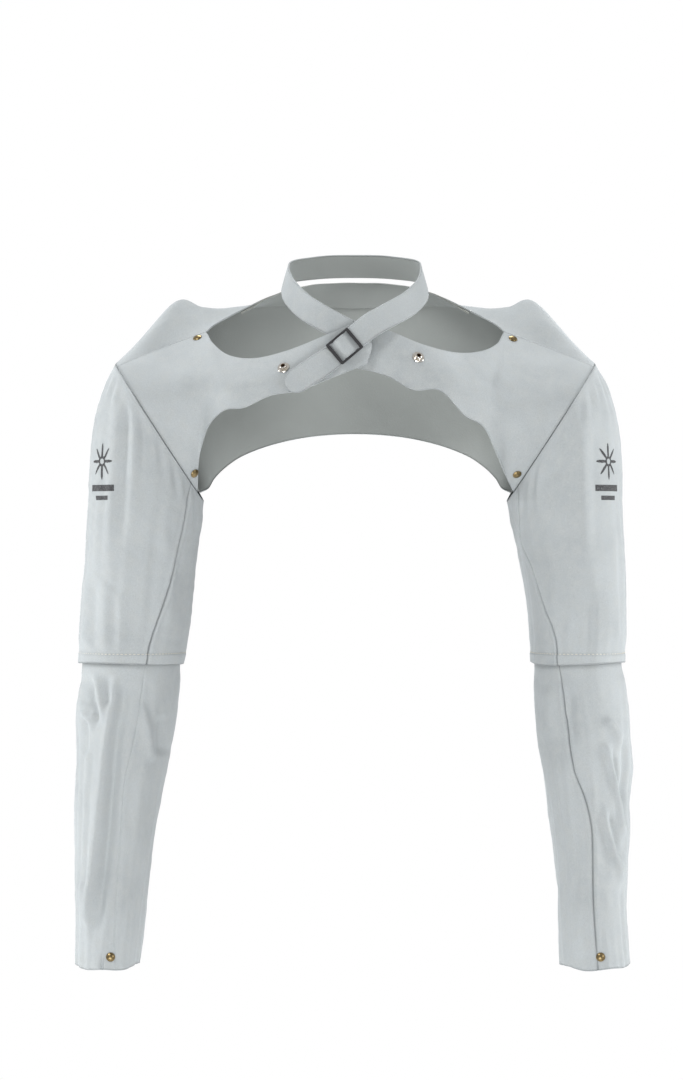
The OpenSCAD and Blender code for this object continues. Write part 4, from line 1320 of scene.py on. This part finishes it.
class SLEEVES_OT_stage(bpy.types.Operator):
    """Floor, lights, background and camera"""

    bl_idname = "sleeves.stage"
    bl_label = "Stage"

    def execute(self, context):
        scene = context.scene
        scene.view_settings.view_transform = "Standard"
        world = bpy.data.worlds.new("studio")
        scene.world = world
        world.use_nodes = True
        tree = world.node_tree
        back = tree.nodes["Background"]
        back.inputs[0].default_value = (1, 1, 1, 1)
        back.inputs[1].default_value = 0.5
        seen = tree.nodes.new("ShaderNodeBackground")
        seen.inputs[0].default_value = (1, 1, 1, 1)
        seen.inputs[1].default_value = 1.0
        choose = tree.nodes.new("ShaderNodeMixShader")
        path = tree.nodes.new("ShaderNodeLightPath")
        out = tree.nodes["World Output"]
        tree.links.new(path.outputs["Is Camera Ray"], choose.inputs[0])
        tree.links.new(back.outputs[0], choose.inputs[1])
        tree.links.new(seen.outputs[0], choose.inputs[2])
        tree.links.new(choose.outputs[0], out.inputs[0])

        lights = [("key", (-1.5, -2.0, 2.0), (0.9, 0.9), 31),
                  ("left_strip", (-2.0, 0.2, -0.3), (0.5, 2.0), 27),
                  ("right_strip", (2.0, 0.2, -0.3), (0.5, 2.0), 29),
                  ("crown", (0.0, 1.0, 2.4), (1.4, 0.6), 44),
                  ("fill", (1.8, -1.9, 0.4), (1.0, 1.0), 11),
                  ("low_fill", (-0.3, -2.4, -1.3), (1.6, 0.9), 31)]
        for name, place, size, power in lights:
            data = bpy.data.lights.new(name, "AREA")
            data.shape = "RECTANGLE"
            data.size, data.size_y = size
            data.energy = power
            lamp = bpy.data.objects.new(name, data)
            lamp.location = place
            aim = LIGHT_AIM - np.array(place)
            flat = math.hypot(aim[0], aim[1])
            lamp.rotation_euler = (math.pi / 2 + math.atan2(aim[2], flat), 0,
                                   math.atan2(-aim[0], aim[1]))
            context.collection.objects.link(lamp)

        bpy.ops.mesh.primitive_circle_add(vertices=96, radius=FLOOR_R, fill_type="NGON",
                                          location=(0, 0, FLOOR_Z))
        floor = context.object
        floor.name = "floor"
        n = Nodes("pale_floor")
        n.shade({"Base Color": rgba(scene.sleeve_colours.floor), "Roughness": 0.9})
        floor.data.materials.append(n.material)

        data = bpy.data.cameras.new("camera")
        camera = bpy.data.objects.new("camera", data)
        distance, view_h, plane_y = 3.6, 1.08, -0.055
        data.sensor_fit = "VERTICAL"
        data.sensor_height = 24
        data.lens = data.sensor_height * (distance + plane_y) / view_h
        camera.location = (LOOK_X, -distance, LOOK_Z)
        camera.rotation_euler = (math.pi / 2, 0, 0)
        context.collection.objects.link(camera)
        scene.camera = camera
        return {"FINISHED"}


class SLEEVES_PT_panel(bpy.types.Panel):
    """Lists the steps in the 3D view's sidebar"""

    bl_label = "Cape sleeves"
    bl_space_type = "VIEW_3D"
    bl_region_type = "UI"
    bl_category = "Sleeves"

    def draw(self, context):
        for group in (context.scene.sleeve_sizes, context.scene.sleeve_colours):
            for key in group.bl_rna.properties.keys():
                if key not in ("rna_type", "name"):
                    self.layout.prop(group, key)
        for step in STEPS:
            self.layout.operator(step.bl_idname)


STEPS = (SLEEVES_OT_stage, SLEEVES_OT_yokes, SLEEVES_OT_back, SLEEVES_OT_upper,
         SLEEVES_OT_lower, SLEEVES_OT_strap, SLEEVES_OT_hardware)
CLASSES = (SleeveSizes, SleeveColours, *STEPS, SLEEVES_PT_panel)


def register():
    for cls in CLASSES:
        bpy.utils.register_class(cls)
    bpy.types.Scene.sleeve_sizes = bpy.props.PointerProperty(type=SleeveSizes)
    bpy.types.Scene.sleeve_colours = bpy.props.PointerProperty(type=SleeveColours)


def unregister():
    del bpy.types.Scene.sleeve_sizes
    del bpy.types.Scene.sleeve_colours
    for cls in reversed(CLASSES):
        bpy.utils.unregister_class(cls)


def main():
    register()
    for step in STEPS:
        group, name = step.bl_idname.split(".")
        getattr(getattr(bpy.ops, group), name)()


if __name__ == "__main__":
    main()
